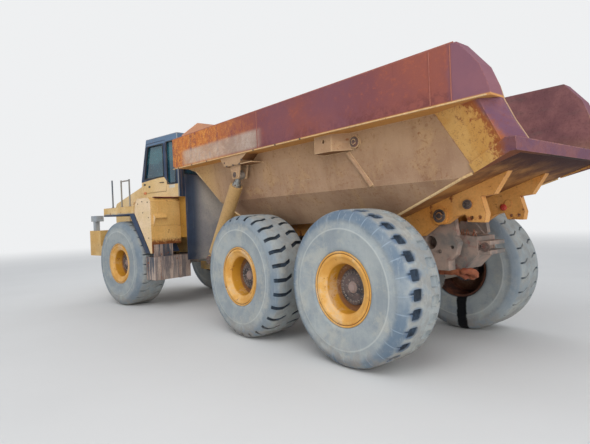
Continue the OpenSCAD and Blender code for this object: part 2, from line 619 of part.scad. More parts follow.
// Bracket under the box rail: a flared box, a flange and two ears that take the hoist's upper eye
eye_x = -hoist_eye_back;
ear_top_z = bed_band_z0 - 130;
module hoist_ears() {
  across(bed_side_half - 25, bed_rail_half - 12) polygon([[eye_x + 360, bed_band_z0], [eye_x + 250, ear_top_z],
    [eye_x - 160, ear_top_z], [eye_x - 215, ear_top_z + 50], [eye_x - 370, bed_band_z0]]);
  block(eye_x - 460, eye_x + 260, bed_side_half - 40, bed_rail_half - 20, ear_top_z - 12, ear_top_z + 1);
  for (y = [hoist_y - 80, hoist_y + 57]) {
    across(y, y + 25) polygon([[eye_x - 130, ear_top_z - 11], [eye_x - 75, hoist_eye_z - 62],
      [eye_x + 75, hoist_eye_z - 62], [eye_x + 130, ear_top_z - 11]]);
    crossbar(eye_x, hoist_eye_z, y - 8, y + 33, 50);
  }
}
module bed_side_left() up() color("firebrick") { bed_side(); hoist_ears(); }
module bed_side_right() up() color("firebrick") mirror([0, 1, 0]) { bed_side(); hoist_ears(); }
spill_half = 800;
spill_z = 3540;
module bed_front() up() color("firebrick") {
  intersection() {
    across(-1300, 1300) polygon(concat(bed_front_line, [[front_foot_x - 40, bed_floor_z + bed_wall],
      [ramp_x - 15, ramp_z + bed_wall], [nose_run_x - 10, nose_z + bed_wall],
        [bed_x0 - bed_wall, bed_band_z0 + 76],
      [bed_x0 - bed_wall, bed_band_z1 + 10]]));
    bed_inside(tip_x, bed_x0);
    block(-3000, 0, -1400, 1400, bed_floor_z + bed_wall + 1.2, 5000);
  }
  // spill guard
  along(bed_x0 - bed_wall, bed_x0) polygon([[-bed_side_half - 50, bed_band_z1 + 10],
    [-bed_side_half - 20, bed_band_z1 + 110], [-spill_half, spill_z], [spill_half, spill_z],
    [bed_side_half + 20, bed_band_z1 + 110], [bed_side_half + 50, bed_band_z1 + 10]]);
}
// Flared cheeks under the box rails at the rear, a folded strip along their lower edge and the tail's lip.
// A cheek is what lies below two planes, each given by a point, its turn about Z and its tilt.
flare_at = [-5928, bed_side_half, bed_band_z0 + 20];
flare_turn = -19.1;
flare_tilt = -18.4;
chamfer_at = [-6507, 1293, bed_band_z0 - 10];
chamfer_turn = 46.1;
chamfer_tilt = 8.2;
cheek_end_x = -5880;
strip_x = -6305;
strip_out = 18;
lip_drop = 110;
reach = 4000;
// The lip stands a hair clear of the floor and the sides
hair = 0.1;
module below_plane(at, turn, tilt, out) translate(at) rotate([tilt, 0, turn])
  translate([-reach, -reach, -reach]) cube([2 * reach, reach + out, 2 * reach]);
module bed_tail() up() color("firebrick") {
  both() difference() {
    union() {
      intersection() {
        across(0, bed_rail_half) polygon(concat(
          [[cheek_end_x, bed_band_z0], [cheek_end_x, floor_under(cheek_end_x)], [tip_x + 60, tip_z - lip_h]],
          [for (i = [0:2]) bed_rear_line[i]], [[tip_x + 172, bed_band_z0]]));
        below_plane(flare_at, flare_turn, flare_tilt, 0);
        below_plane(chamfer_at, chamfer_turn, chamfer_tilt, 0);
      }
      intersection() {
        across(0, bed_rail_half) polygon([[strip_x, floor_under(strip_x) - 12], [tip_x + 75, tip_z - lip_drop],
          [tip_x + 12, tip_z - lip_drop], [tip_x, tip_z], [tip_x + 100, tip_z + 8],
          [strip_x + 47, floor_under(strip_x + 47) + 92]]);
        below_plane(flare_at, flare_turn, flare_tilt, strip_out);
      }
    }
    bed_outside(tip_x - 2, bed_x0, bed_band_z1 + 100);
  }
  intersection() {
    across(-bed_rail_half, bed_rail_half) polygon([[tip_x - hair, tip_z], [tip_x + 12, tip_z - lip_drop],
      [tip_x + 75, tip_z - lip_drop], [tip_x + 75, floor_under(tip_x + 75) - hair],
      [tip_x + 60 - hair, tip_z - lip_h - hair]]);
    below_plane(flare_at, flare_turn, flare_tilt, strip_out);
    mirror([0, 1, 0]) below_plane(flare_at, flare_turn, flare_tilt, strip_out);
  }
}
// Beams under the floor, with the hinge and a lug with two holes behind it
beam_in = 400;
beam_out = 500;
lug_x = -5970;
lug_z = 1600;
lug_hole_r = 20;
module bed_beams() up() color("goldenrod") both() difference() {
  union() {
    across(beam_in, beam_out) polygon([[-2350, floor_under(-2350) - 0.02], [-2450, 1400], [hinge_x + 250, 1400],
      [hinge_x + 60, bed_hinge_z - 100], [hinge_x - 60, bed_hinge_z - 95], [lug_x + 196, lug_z + 13],
      [lug_x + 80, lug_z + 40], [lug_x + 45, lug_z - 45], [lug_x - 140, lug_z - 55], [lug_x - 160, lug_z + 40],
      [lug_x - 110, lug_z + 220], [lug_x - 250, lug_z + 235], [lug_x - 406, floor_under(lug_x - 406) - 0.02],
      [kink_x, bed_kink_z - 0.02]]);
    crossbar(hinge_x, bed_hinge_z, rail_y1 + 2, beam_out + 15, 100);
    crossbar(hinge_x, bed_hinge_z, rail_y1 - 75, beam_in, bed_pin_d / 2);
    crossbar(hinge_x, bed_hinge_z, beam_out + 14, beam_out + 26, 40);
    crossbar(lug_x + 30, lug_z + 143, beam_in - 10, beam_out + 30, 42);
  }
  for (x = [lug_x, lug_x - 90]) crossbar(x, lug_z, beam_in - 20, beam_out + 20, lug_hole_r);
}

// Hoist cylinders: barrel, two stages and rod, each pair on one pin line
hoist_a = [-hoist_base_back, hoist_y, hoist_base_z];
hoist_b = [-hoist_eye_back, hoist_y, hoist_eye_z];
hoist_n = (hoist_b - hoist_a) / norm(hoist_b - hoist_a);
hoist_len = norm(hoist_b - hoist_a);
module hoist_tube(s0, s1, r) bar(hoist_a + hoist_n * s0, hoist_a + hoist_n * s1, r);
module hoist_barrels() up() color("goldenrod") both() difference() {
  union() {
    hoist_tube(0, 141, 50);
    hoist_tube(140, hoist_len - 190, hoist_d / 2);
    crossbar(hoist_a[0], hoist_a[2], hoist_y - 55, hoist_y + 55, 85);
  }
  crossbar(hoist_a[0], hoist_a[2], hoist_y - 56, hoist_y + 56, 40 + fit_gap);
  hoist_tube(150, hoist_len - 189, 68 + fit_gap);
}
module hoist_stage_a() up() color("silver") both() difference() {
  hoist_tube(155, hoist_len - 155, 68);
  hoist_tube(165, hoist_len - 154, 54 + fit_gap);
}
module hoist_stage_b() up() color("silver") both() difference() {
  hoist_tube(170, hoist_len - 120, 54);
  hoist_tube(180, hoist_len - 119, 40 + fit_gap);
}
module hoist_rods() up() color("silver") both() {
  hoist_tube(185, hoist_len - 50, 40);
  crossbar(hoist_b[0], hoist_b[2], hoist_y - 45, hoist_y + 45, 70);
}

rear_frame();
rear_axles();
walking_beams();
guards();
hitch();
front_frame();
front_axle();
bumper();
head_lamps();
engine();
radiator();
fenders();
side_box_left();
side_box_right();
tank_left();
tank_right();
cab_base();
cab_shell();
cab_glass();
dash();
seat();
handrails();
hood();
door();
door_glass();
steer_barrel_left();
steer_rod_left();
steer_barrel_right();
steer_rod_right();
bed_floor();
bed_side_left();
bed_side_right();
bed_front();
bed_tail();
bed_beams();
hoist_barrels();
hoist_stage_a();
hoist_stage_b();
hoist_rods();
front_wheel_at(1) tyre(12);  // tyre_front_left
front_wheel_at(1) rim();  // rim_front_left
front_wheel_at(-1) tyre(12);  // tyre_front_right
front_wheel_at(-1) rim();  // rim_front_right
wheel_at(mid_x, 1) tyre(36);  // tyre_mid_left
wheel_at(mid_x, 1) rim();  // rim_mid_left
wheel_at(mid_x, -1) tyre(36);  // tyre_mid_right
wheel_at(mid_x, -1) rim();  // rim_mid_right
wheel_at(rear_x, 1) tyre(18);  // tyre_rear_left
wheel_at(rear_x, 1) rim();  // rim_rear_left
wheel_at(rear_x, -1) tyre(18);  // tyre_rear_right
wheel_at(rear_x, -1) rim();  // rim_rear_right
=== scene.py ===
# Looks of a worn articulated dump truck, dressed around its solid parts
import math

import bpy
from mathutils import Matrix, Vector


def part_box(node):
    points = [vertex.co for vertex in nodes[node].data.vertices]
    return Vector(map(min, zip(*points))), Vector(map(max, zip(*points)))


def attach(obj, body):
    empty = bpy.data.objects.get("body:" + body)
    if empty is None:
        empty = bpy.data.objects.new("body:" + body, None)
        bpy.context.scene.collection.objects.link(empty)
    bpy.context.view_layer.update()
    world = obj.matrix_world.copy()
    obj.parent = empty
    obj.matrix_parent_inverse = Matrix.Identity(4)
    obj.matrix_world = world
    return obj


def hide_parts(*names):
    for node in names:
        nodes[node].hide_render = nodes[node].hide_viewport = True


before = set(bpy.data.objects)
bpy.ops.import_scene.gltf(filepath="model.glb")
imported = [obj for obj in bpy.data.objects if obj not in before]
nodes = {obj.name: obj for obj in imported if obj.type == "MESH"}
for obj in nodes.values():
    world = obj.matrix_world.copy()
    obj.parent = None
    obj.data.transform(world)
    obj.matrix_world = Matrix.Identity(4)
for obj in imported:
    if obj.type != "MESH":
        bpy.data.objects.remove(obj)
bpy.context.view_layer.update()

# Camera, in the truck's own frame: metres and degrees
camera_place = (-8.526, 5.120, 1.671)
camera_yaw = -40.208
camera_pitch = -0.468
camera_roll = -2.353
camera_lens = 28.35

# Wheels: their axles lie at the tyres' radius
tyre_radius = 0.875
lugs_around = 28
groove_width = 0.052
wheels = [(end, side) for end in ("front", "mid", "rear") for side in ("left", "right")]

# Rear unit: the outer side of the frame's rails, the bed's front face and the band along its sides
rail_half = 0.38
bed_nose = -0.672
band_foot = 2.64
band_half = 1.32
band_top = 3.18

# Front unit: its turn at rest, what rides on it, and the outer sides of cab and hood
steer_rest = math.radians(8)
front_bodies = ("front_frame", "door", "hood")
cab_half = 0.896
hood_half = 0.74
fender_top = 2.048

# Discs and lenses start this far inside the face that they stand on
sunk = -0.004

# What is seen behind the truck
backdrop = (0.86, 0.87, 0.88, 1)

# Screen colours, and one that darkens what it is multiplied with
ochre = "cd9e52"
ochre_pale = "e0be82"
cream = "e8ca98"
navy = "22344c"
tan_dust = "b08e68"
rust_orange = "b06230"
rust_red = "864238"
rust_dark = "3e221c"
mud_grey = "8e8476"
grease_black = "18181a"
tyre_chalk = "a4aaaa"
tyre_blue = "546a80"
tyre_dark = "262c34"
grime = (0.02, 0.018, 0.015, 1)


def tone(colour):
    """A hexadecimal screen colour as the shader wants it."""
    def straight(value):
        return value / 12.92 if value <= 0.04045 else ((value + 0.055) / 1.055) ** 2.4
    return (*(straight(int(colour[i:i + 2], 16) / 255) for i in (0, 2, 4)), 1.0)


class Wire:
    """One output of a shader node, so that sums of outputs can be written as Python."""

    def __init__(self, owner, socket):
        self.owner = owner
        self.socket = socket

    def _sum(self, operation, *values):
        return self.owner.node("ShaderNodeMath", {"operation": operation}, dict(enumerate(values)))

    def __add__(self, other):
        return self._sum("ADD", self, other)

    __radd__ = __add__

    def __sub__(self, other):
        return self._sum("SUBTRACT", self, other)

    def __rsub__(self, other):
        return self._sum("SUBTRACT", other, self)

    def __mul__(self, other):
        return self._sum("MULTIPLY", self, other)

    def __abs__(self):
        return self._sum("ABSOLUTE", self)

    def fraction(self):
        return self._sum("FRACT", self)

    def larger(self, other):
        return self._sum("MAXIMUM", self, other)

    def smaller(self, other):
        return self._sum("MINIMUM", self, other)


class Nodes:
    """A tree of shader nodes."""

    def __init__(self, tree):
        self.tree = tree

    def find(self, sockets, key):
        """A socket by its number, or by its identifier or name."""
        if isinstance(key, int):
            return sockets[key]
        return next(socket for socket in sockets if key in (socket.identifier, socket.name))

    def fill(self, node, values):
        """Gives a node's sockets their wires, screen colours or plain values; None leaves one as it is."""
        for key, value in values.items():
            if isinstance(value, Wire):
                self.tree.links.new(value.socket, self.find(node.inputs, key))
            elif value is not None:
                self.find(node.inputs, key).default_value = tone(value) if isinstance(value, str) else value

    def node(self, kind, settings=None, inputs=None, output=0):
        """Adds a node, its settings before its inputs, and returns one of its outputs."""
        made = self.tree.nodes.new(kind)
        for key, value in (settings or {}).items():
            setattr(made, key, value)
        self.fill(made, inputs or {})
        return Wire(self, self.find(made.outputs, output))


class Finish(Nodes):
    """A material and its shader. Colours are laid over each other on its base."""

    def __init__(self, name, gloss=0.4, **constants):
        self.material = bpy.data.materials.new(name)
        self.material.use_nodes = True
        super().__init__(self.material.node_tree)
        self.shader = self.tree.nodes["Principled BSDF"]
        self.fill(self.shader, {"Specular IOR Level": gloss})
        self.fill(self.shader, {key.replace("_", " "): value for key, value in constants.items()})
        self.place = self.node("ShaderNodeTexCoord", output="Object")
        self.base = None

    def axis(self, letter, vector=None):
        return self.node("ShaderNodeSeparateXYZ", inputs={0: vector or self.place}, output=letter)

    def facing(self, letter):
        """How much a face looks along an axis, from -1 to 1."""
        return self.axis(letter, self.node("ShaderNodeTexCoord", output="Normal"))

    def wheel(self, letter):
        """How far out (X), how far round (Y) or how far across (Z) a point of a wheel is."""
        return self.axis(letter, self.node("ShaderNodeAttribute", {"attribute_name": "wheel"}, output="Vector"))

    def front_axes(self, read=None):
        """How far ahead and how far to the left a point lies, or a face looks, on the turned front unit."""
        x, y = (read or self.axis)("X"), (read or self.axis)("Y")
        along, aside = math.cos(steer_rest), math.sin(steer_rest)
        return x * along + y * aside, y * along - x * aside

    def noise(self, scale, detail=4, roughness=0.55, distortion=0, stretch=None):
        place = self.place if stretch is None else self.node(
            "ShaderNodeVectorMath", {"operation": "MULTIPLY"}, {0: self.place, 1: stretch})
        return self.node("ShaderNodeTexNoise", inputs={
            "Vector": place, "Scale": scale, "Detail": detail, "Roughness": roughness,
            "Distortion": distortion}, output="Fac")

    def streaks(self, stretch, detail, roughness, distortion=0):
        """Noise drawn out along the axis whose number is smallest."""
        return self.noise(1, detail, roughness, distortion, stretch)

    def rise(self, wire, low, high):
        """0 below low, 1 above high and smooth between; falls instead where low is the larger."""
        return self.node("ShaderNodeMapRange", {"interpolation_type": "SMOOTHSTEP"}, {
            "Value": wire, "From Min": low, "From Max": high})

    def mix(self, share, first, second, blend="MIX"):
        return self.node("ShaderNodeMix", {"data_type": "RGBA", "blend_type": blend}, {
            "Factor_Float": share, "A_Color": first, "B_Color": second}, output="Result_Color")

    def between(self, first, second, wire, low, high):
        """A colour that goes from first to second as a wire goes from low to high."""
        return self.mix(self.rise(wire, low, high), first, second)

    def coat(self, colour, share, blend="MIX"):
        """Lays a share of a colour over the base."""
        self.base = self.mix(share, self.base, colour, blend)

    def lay(self, colour, wire, low, high, strength=1):
        """Lays a colour over the base as a wire goes from low to high."""
        self.coat(colour, self.rise(wire, low, high) * strength)

    def worn_edge(self, radius):
        """1 along sharp edges, from how far a rounded normal turns away from the flat one."""
        flat = self.node("ShaderNodeNewGeometry", output="Normal")
        rounded = self.node("ShaderNodeBevel", {"samples": 4}, {"Radius": radius})
        meet = self.node("ShaderNodeVectorMath", {"operation": "DOT_PRODUCT"}, {0: flat, 1: rounded}, "Value")
        return self.rise(meet, 0.99, 0.86)

    def wear(self, roughness, height=None, depth=0.004, edge=0.006):
        """Joins the base, the roughness and the relief to the shader, over edges rounded a little."""
        normal = self.node("ShaderNodeBevel", {"samples": 4}, {"Radius": edge}) if edge else None
        if height is not None:
            normal = self.node("ShaderNodeBump", inputs={
                "Height": height, "Distance": depth, "Strength": 1.0, "Normal": normal})
        self.fill(self.shader, {"Base Color": self.base, "Roughness": roughness, "Normal": normal})
        return self.material


def weather(f, cloud, rust=0.35, mud_top=1.3, chips=0.5, dust=tan_dust):
    """Wears a paint: run-down dirt, rust spots, chipped edges and mud low down."""
    grain = f.noise(38, 3, 0.6)
    f.lay(dust, f.streaks((9, 9, 0.9), 4, 0.6), 0.55, 0.8, 0.35)
    f.coat(grime, f.rise(grain, 0.4, 0.75) * 0.16, "MULTIPLY")
    edge = f.worn_edge(0.012) * f.rise(grain + cloud, 0.85, 1.15) * chips
    rusty = f.rise(f.noise(7, 8, 0.72), 0.66 - rust * 0.16, 0.72 - rust * 0.12)
    f.coat(f.mix(grain, rust_dark, rust_orange), rusty.larger(edge))
    mud = f.rise(f.axis("Z") + cloud * 0.5, mud_top + 0.35, mud_top - 0.45)
    mud = mud * f.rise(f.noise(3.5, 6), 0.36, 0.62)
    f.coat(mud_grey, mud * 0.8)
    return f.wear(0.55 + rusty * 0.3 + mud * 0.25, grain * 0.25 + rusty * 0.5 + mud * 0.4, 0.003)


def old_paint(name, colour, faded, **wear):
    """Sun-faded paint of one colour."""
    f = Finish(name)
    cloud = f.noise(1.6, 5)
    f.base = f.between(colour, faded, cloud, 0.35, 0.68)
    return weather(f, cloud, **wear)


def cab_paint():
    """The cab: navy, bleached over the windows, with yellow below a stepped line and a bare patch behind."""
    f = Finish("cab_paint", 0.45)
    ahead, aside = f.front_axes()
    z = f.axis("Z")
    cloud = f.noise(1.6, 5)
    f.base = f.between(navy, "3a5070", cloud, 0.35, 0.68)
    f.lay("68829e", z, 3.3, 3.34, 0.8)
    f.coat("8c9296", f.rise(z, 3.445, 3.465) * f.rise(cloud, 0.3, 0.6) * 0.7)
    step = (2.693 - ahead * 0.079).smaller((ahead * 0.9945 + 2.022).larger(2.458))
    below = f.rise(step - z, -0.003, 0.003) * f.rise(ahead, 0.125, 0.13)
    f.coat(f.between(ochre_pale, cream, cloud, 0.35, 0.68), below)
    bare = f.rise(abs(ahead - 0.34), 0.11, 0.09) * f.rise(abs(z - 2.42), 0.035, 0.025)
    f.coat("d6d2c4", bare * f.rise(aside, 0.8, 0.85) * f.rise(cloud, 0.3, 0.5))
    f.coat("b0b4b2", f.rise(ahead, 0.128, 0.118) * f.rise(abs(aside), 0.885, 0.89) * 0.7)
    return weather(f, cloud, rust=0.1, mud_top=0.9, chips=0.6)


def fender_paint():
    """Cream top plates with a navy lower edge and navy legs; what faces down to the tyre is dark with painted
    shade and dirt.
    """
    f = Finish("fender_paint")
    z = f.axis("Z")
    cloud = f.noise(2, 5)
    f.base = f.between(ochre, cream, cloud, 0.35, 0.66)
    f.lay(ochre_pale, z, 1.925, 1.985, 0.4)
    f.lay(f.between(navy, "344662", cloud, 0.35, 0.66), z + (f.noise(14) - 0.5) * 0.01, 1.908, 1.898)
    f.coat("969a96", f.rise(abs(z - 1.915), 0.012, 0.006) * f.rise(f.noise(9, 5), 0.4, 0.6) * 0.8)
    # Painted shade with brown dirt on the faces that look down to the tyre
    f.lay(f.mix(cloud, "2c1e1a", "684634"), f.facing("Z"), -0.3, -0.5)
    return weather(f, cloud, rust=0.25, mud_top=1.2, chips=0.8)


def side_box_paint():
    """Boxes behind the fenders: cream outer plate, deeper yellow rear face that rusts away at its foot."""
    f = Finish("side_box_paint")
    cloud = f.noise(2, 5)
    fine = f.noise(24, 6, 0.7)
    rear = f.rise(f.front_axes(f.facing)[0], -0.4, -0.6)
    f.base = f.between("e2c496", "ecd0ac", cloud, 0.35, 0.66)
    f.coat(f.between("deac62", "ecc27c", cloud, 0.3, 0.7), rear)
    f.coat(f.mix(fine, rust_dark, "a86028"), rear * f.rise(f.axis("Z") + (fine - 0.5) * 0.22, 1.4, 1.3))
    return weather(f, cloud, rust=0.2, mud_top=0.95, chips=0.7)


def rim_paint():
    """Rims: orange-yellow flange, deep yellow well, and painted shade with rust and mud deep inside, where only
    the axle sees it.
    """
    f = Finish("rim_paint", 0.45)
    out, across = f.wheel("X"), f.wheel("Z")
    cloud = f.noise(4, 6, 0.6)
    fine = f.noise(40, 6, 0.7)
    f.base = f.between("d09642", "e2b268", cloud, 0.36, 0.66)
    well = f.rise(out, 0.292, 0.28) * f.rise(across, 0.262, 0.25)
    f.coat(f.mix(cloud, "ac701a", "d69e2c"), well)
    # Painted shade with mud and rust: darker brown deeper inside the rim
    f.lay(f.mix(fine, "543e36", "8e6042"), across, 0.12, 0.088, 0.85)
    f.lay("c4ac96", cloud + fine * 0.4, 0.72, 0.86, 0.5)
    # Painted shade: the deepest inside of the rim nearly black brown
    inner = f.rise(across, 0.05, 0.03)
    f.coat(f.between("3a221c", "70402c", cloud, 0.4, 0.6), inner)
    edge = f.worn_edge(0.008) * f.rise(fine + cloud, 0.9, 1.15)
    rusty = f.rise(f.noise(11, 8, 0.74), 0.6, 0.68).larger(edge * 0.9)
    f.coat(f.mix(fine, rust_dark, rust_orange), rusty)
    f.lay("603a24", abs(out - 0.3935), 0.006, 0.002, 0.7)
    return f.wear(0.56 + rusty * 0.3 + inner * 0.2, fine * 0.4 + rusty * 0.5, 0.003, 0.004)


def hub_metal():
    """Hub covers: dark dusty iron, pinkish where dust lies, with a pale cap and pale edges."""
    f = Finish("hub_metal")
    cloud = f.noise(6, 6, 0.65)
    fine = f.noise(60, 5, 0.65)
    f.base = f.between("3e3e42", "6c605e", cloud, 0.36, 0.62)
    f.lay("968076", f.noise(13, 7, 0.7), 0.55, 0.68, 0.6)
    f.lay(f.mix(fine, "967c74", "b8a49c"), f.wheel("X"), 0.068, 0.062, 0.8)
    f.coat("b0a498", f.worn_edge(0.006) * 0.7)
    f.lay(rust_dark, fine, 0.56, 0.72, 0.4)
    return f.wear(0.62 + fine * 0.2, fine * 0.5 + cloud * 0.3, 0.002, 0.004)


def guard_paint():
    """Guard sheets ahead of the middle wheels: navy at their outer edge, dusty grey further in."""
    f = Finish("guard_paint")
    cloud = f.noise(1.4, 5)
    blue = f.between("182436", "28364c", cloud, 0.35, 0.68)
    dust = f.between("747070", "9c9286", cloud, 0.35, 0.62)
    f.base = f.between(blue, dust, abs(f.axis("Y")) + (cloud - 0.5) * 0.12, 1.12, 0.9)
    return weather(f, cloud, rust=0.1, mud_top=1.25, chips=0.5, dust="a0968a")


def tank_paint():
    """Tanks: pinkish dust over faded paint, with dark oily streaks down their sides."""
    f = Finish("tank_paint")
    cloud = f.noise(2.4, 5)
    f.base = f.between("96847c", "bea898", cloud, 0.35, 0.62)
    wet = f.rise(f.streaks((16, 16, 1.3), 5, 0.7, 0.4), 0.44, 0.55)
    wet = wet * f.rise(abs(f.front_axes()[0] - 0.42), 0.24, 0.12)
    f.coat(f.mix(cloud, "222e3c", "425464"), wet * 0.9)
    return weather(f, cloud, rust=0.45, mud_top=0.75, chips=0.8, dust="967460")


def panel_look(f):
    """The bed's sides: ochre paint under baked tan dust, speckled, scratched along and streaked down."""
    cloud = f.noise(0.9, 6, 0.6)
    blotch = f.noise(3.2, 6, 0.65, 0.6)
    speck = f.noise(26, 6, 0.75)
    f.base = f.between("ae8e72", "927058", cloud, 0.35, 0.66)
    f.lay("b8946e", f.axis("Z") + (blotch - 0.5) * 0.7, 2, 2.6, 0.55)
    f.lay("bc986c", blotch, 0.5, 0.72, 0.5)
    f.lay("d0a664", f.axis("X"), -2, -1.4, 0.5)
    f.lay("866042", f.streaks((7, 7, 0.7), 5, 0.6), 0.5, 0.78, 0.35)
    f.lay("bca88c", f.streaks((1.2, 4, 26), 6, 0.7), 0.56, 0.74, 0.3)
    f.coat("805230", f.rise(speck, 0.52, 0.64) * f.rise(blotch, 0.35, 0.6) * 0.55)
    f.lay("d8b886", f.noise(80, 4, 0.7), 0.55, 0.72, 0.25)
    rust = f.rise(f.noise(5, 9, 0.75), 0.62, 0.7)
    f.coat(f.mix(speck, rust_dark, rust_orange), rust * 0.7)
    f.coat("debe92", f.worn_edge(0.02) * f.rise(blotch, 0.3, 0.5) * 0.75)
    # Painted shade: dark brown on the faces that look down
    f.lay(f.mix(blotch, "603c28", "9e7044"), f.facing("Z"), -0.8, -0.9)
    return f.base, 0.78 + rust * 0.12, speck * 0.35 + blotch * 0.8 + rust * 0.4


def rail_rust(f):
    """The box rails: red-purple rust, orange at the front, purple bloom in patches and at the rear."""
    x, z = f.axis("X"), f.axis("Z")
    cloud = f.noise(0.8, 5, 0.6)
    blotch = f.noise(2.6, 7, 0.68, 0.8)
    flake = f.noise(17, 7, 0.75)
    fine = f.noise(70, 3, 0.7)
    runs = f.streaks((10, 10, 0.8), 6, 0.65)
    stray = blotch - 0.5
    f.base = f.between("8e5044", "7c484a", cloud, 0.38, 0.64)
    f.lay("a65c44", flake, 0.5, 0.68, 0.5)
    f.lay("523038", blotch, 0.6, 0.74, 0.5)
    f.coat("5c3238", f.rise(z + stray * 0.35, 2.86, 2.68) * f.rise(flake, 0.42, 0.6) * 0.6)
    for middle, half in ((-3.7, 0.55), (-4.74, 0.6)):
        f.lay("744c5a", abs(x - middle + stray * 1.3), half, half - 0.55, 0.45)
    f.lay(f.between("785464", "885c66", cloud, 0.4, 0.6), x + stray * 0.1, -6.22, -6.3, 0.85)
    front = f.rise(x + stray * 1.6, -3.4, -1.6)
    f.coat("c47034", front * f.rise(flake + runs, 0.78, 1.05))
    f.coat("dea458", front * f.rise(fine + flake, 0.95, 1.2) * 0.7)
    # The bare pale patch on the outside of the band
    patch = f.rise(abs(x + 2.2), 1.24, 1) * f.rise(abs(z - 2.8), 0.16, 0.09)
    patch = patch * f.rise(abs(f.axis("Y")), 1.28, 1.3)
    pale = f.between("ac9e8e", "c4bcae", blotch, 0.36, 0.64)
    f.coat(pale, patch * (0.52 + f.rise(fine, 0.35, 0.65) * 0.22))
    foot = f.rise(z, band_foot + 0.03, band_foot + 0.014) * f.rise(flake, 0.25, 0.45)
    f.coat("ce944c", foot * 0.85)
    f.lay("542c28", runs, 0.58, 0.8, 0.3)
    f.coat("ac7064", f.worn_edge(0.015) * f.rise(flake, 0.4, 0.6) * 0.6)
    return f.base, 0.7 + flake * 0.2, flake * 0.6 + fine * 0.25 + blotch * 0.4


def load_look(f):
    """Inside of the bed: rust polished by rock low down, purple-brown higher up."""
    blotch = f.noise(2.2, 7, 0.7)
    scrape = f.streaks((2, 16, 9), 6, 0.72)
    fine = f.noise(45, 5, 0.7)
    f.base = f.between("805842", "98785e", blotch, 0.38, 0.66)
    high = f.between("6a444e", "88565c", blotch, 0.36, 0.66)
    f.lay(high, f.axis("Z") + (blotch - 0.5) * 0.3, 2.15, 2.55, 0.8)
    f.lay("605450", scrape, 0.52, 0.7, 0.5)
    f.lay(rust_dark, fine, 0.5, 0.7, 0.35)
    return f.base, 0.7 + fine * 0.2, fine * 0.4 + scrape * 0.5


def bed_side_finish():
    """One side of the bed: its panel, the rusted box rail along the top, and the load side."""
    f = Finish("bed_side", 0.3)
    inner = f.rise(f.facing("Y") * f.axis("Y"), -0.15, -0.25)
    high = f.rise(f.axis("Z"), band_foot - 0.004, band_foot) * f.rise(abs(f.axis("Y")), 1.085, 1.1)
    panel, rail, load = panel_look(f), rail_rust(f), load_look(f)
    f.base = f.mix(inner, f.mix(high, panel[0], rail[0]), load[0])
    rough, relief = ((1 - inner) * ((1 - high) * panel[i] + high * rail[i]) + inner * load[i] for i in (1, 2))
    return f.wear(rough, relief, 0.005)


def bed_front_finish():
    """The front plate: rusted like the rails outside, scoured by the load inside, paler above."""
    f = Finish("bed_front", 0.3)
    z = f.axis("Z")
    (outer, rough, relief), load = rail_rust(f), load_look(f)[0]
    f.base = f.mix(f.rise(f.facing("X"), -0.1, -0.3) * f.rise(z, 3.22, 3.18), outer, load)
    f.lay("d6a284", z, 3.19, 3.24, 0.75)
    return f.wear(rough, relief, 0.005)


def bed_floor_finish():
    """The floor: scoured above, dusty orange below, and painted shade under the tail."""
    f = Finish("bed_floor", 0.35)
    scoured, rough, relief = load_look(f)
    blotch = f.noise(3.4, 7, 0.7)
    below = f.between("80522c", "aa763e", blotch, 0.36, 0.64)
    # Painted shade: nearly black under the tail
    below = f.between(below, "3c1610", f.axis("X") + blotch * 0.5, -5.9, -6.4)
    f.base = f.between(scoured, below, f.facing("Z"), -0.1, -0.3)
    return f.wear(rough, relief, 0.005)


def bed_tail_finish():
    """Flared cheeks: speckled yellow, red-brown to the rear; purple lip and a rusty underside with painted shade,
    darkest towards the middle.
    """
    f = Finish("bed_tail", 0.35)
    x, z = f.axis("X"), f.axis("Z")
    blotch = f.noise(3, 7, 0.68, 0.6)
    flake = f.noise(20, 7, 0.75)
    fine = f.noise(70, 3, 0.7)
    stray = flake - 0.5
    f.base = f.between("ce984e", "d8a862", blotch, 0.38, 0.64)
    back = x + 6.14 + (z - band_foot) * -0.62
    f.lay(f.mix(fine, "803e22", "be7034"), flake + blotch * 0.5 - back * 1.1, 0.88, 1.04)
    rear = f.rise(back + stray * 0.1, -0.28, -0.36)
    strip = f.rise(z + (x + 6.3) * 0.35, 2.13, 2.122)
    rear = rear * (1 - strip) + strip * f.rise(x + stray * 0.2, -6.6, -6.74)
    f.coat(f.between("6c485a", "805256", blotch, 0.4, 0.62), rear.larger(f.rise(x, -6.72, -6.76)))
    f.lay("783c32", fine + flake, 1.02, 1.2, 0.4)
    # Painted shade over the rust on the faces that look down, darkest towards the middle
    f.lay(f.between("30100c", "763e1e", abs(f.axis("Y")), 0.3, 1.1), f.facing("Z"), -0.35, -0.55)
    f.coat("c48c78", f.worn_edge(0.012) * f.rise(flake, 0.4, 0.6) * 0.6)
    return f.wear(0.62 + flake * 0.25, flake * 0.5 + fine * 0.25 + blotch * 0.3, 0.006)


def dusty_iron(name, light, dark, grease=0.4, rust=0.3):
    """Castings, axles and frame: rough iron under dust, with grease and rust."""
    f = Finish(name, 0.35)
    spots = f.noise(9, 7, 0.7)
    f.base = f.between(light, dark, f.noise(2.8, 6, 0.62), 0.34, 0.66)
    f.lay(rust_red, spots, 0.62 - rust * 0.2, 0.74, 0.8)
    wet = f.rise(f.noise(1.7, 5, 0.6), 0.66 - grease * 0.2, 0.72 - grease * 0.1)
    f.coat(grease_black, wet * 0.85)
    f.coat(mud_grey, f.worn_edge(0.01) * 0.35)
    return f.wear(0.74 - wet * 0.3, f.noise(55, 4, 0.6) * 0.6 + spots * 0.5, 0.003, 0.008)


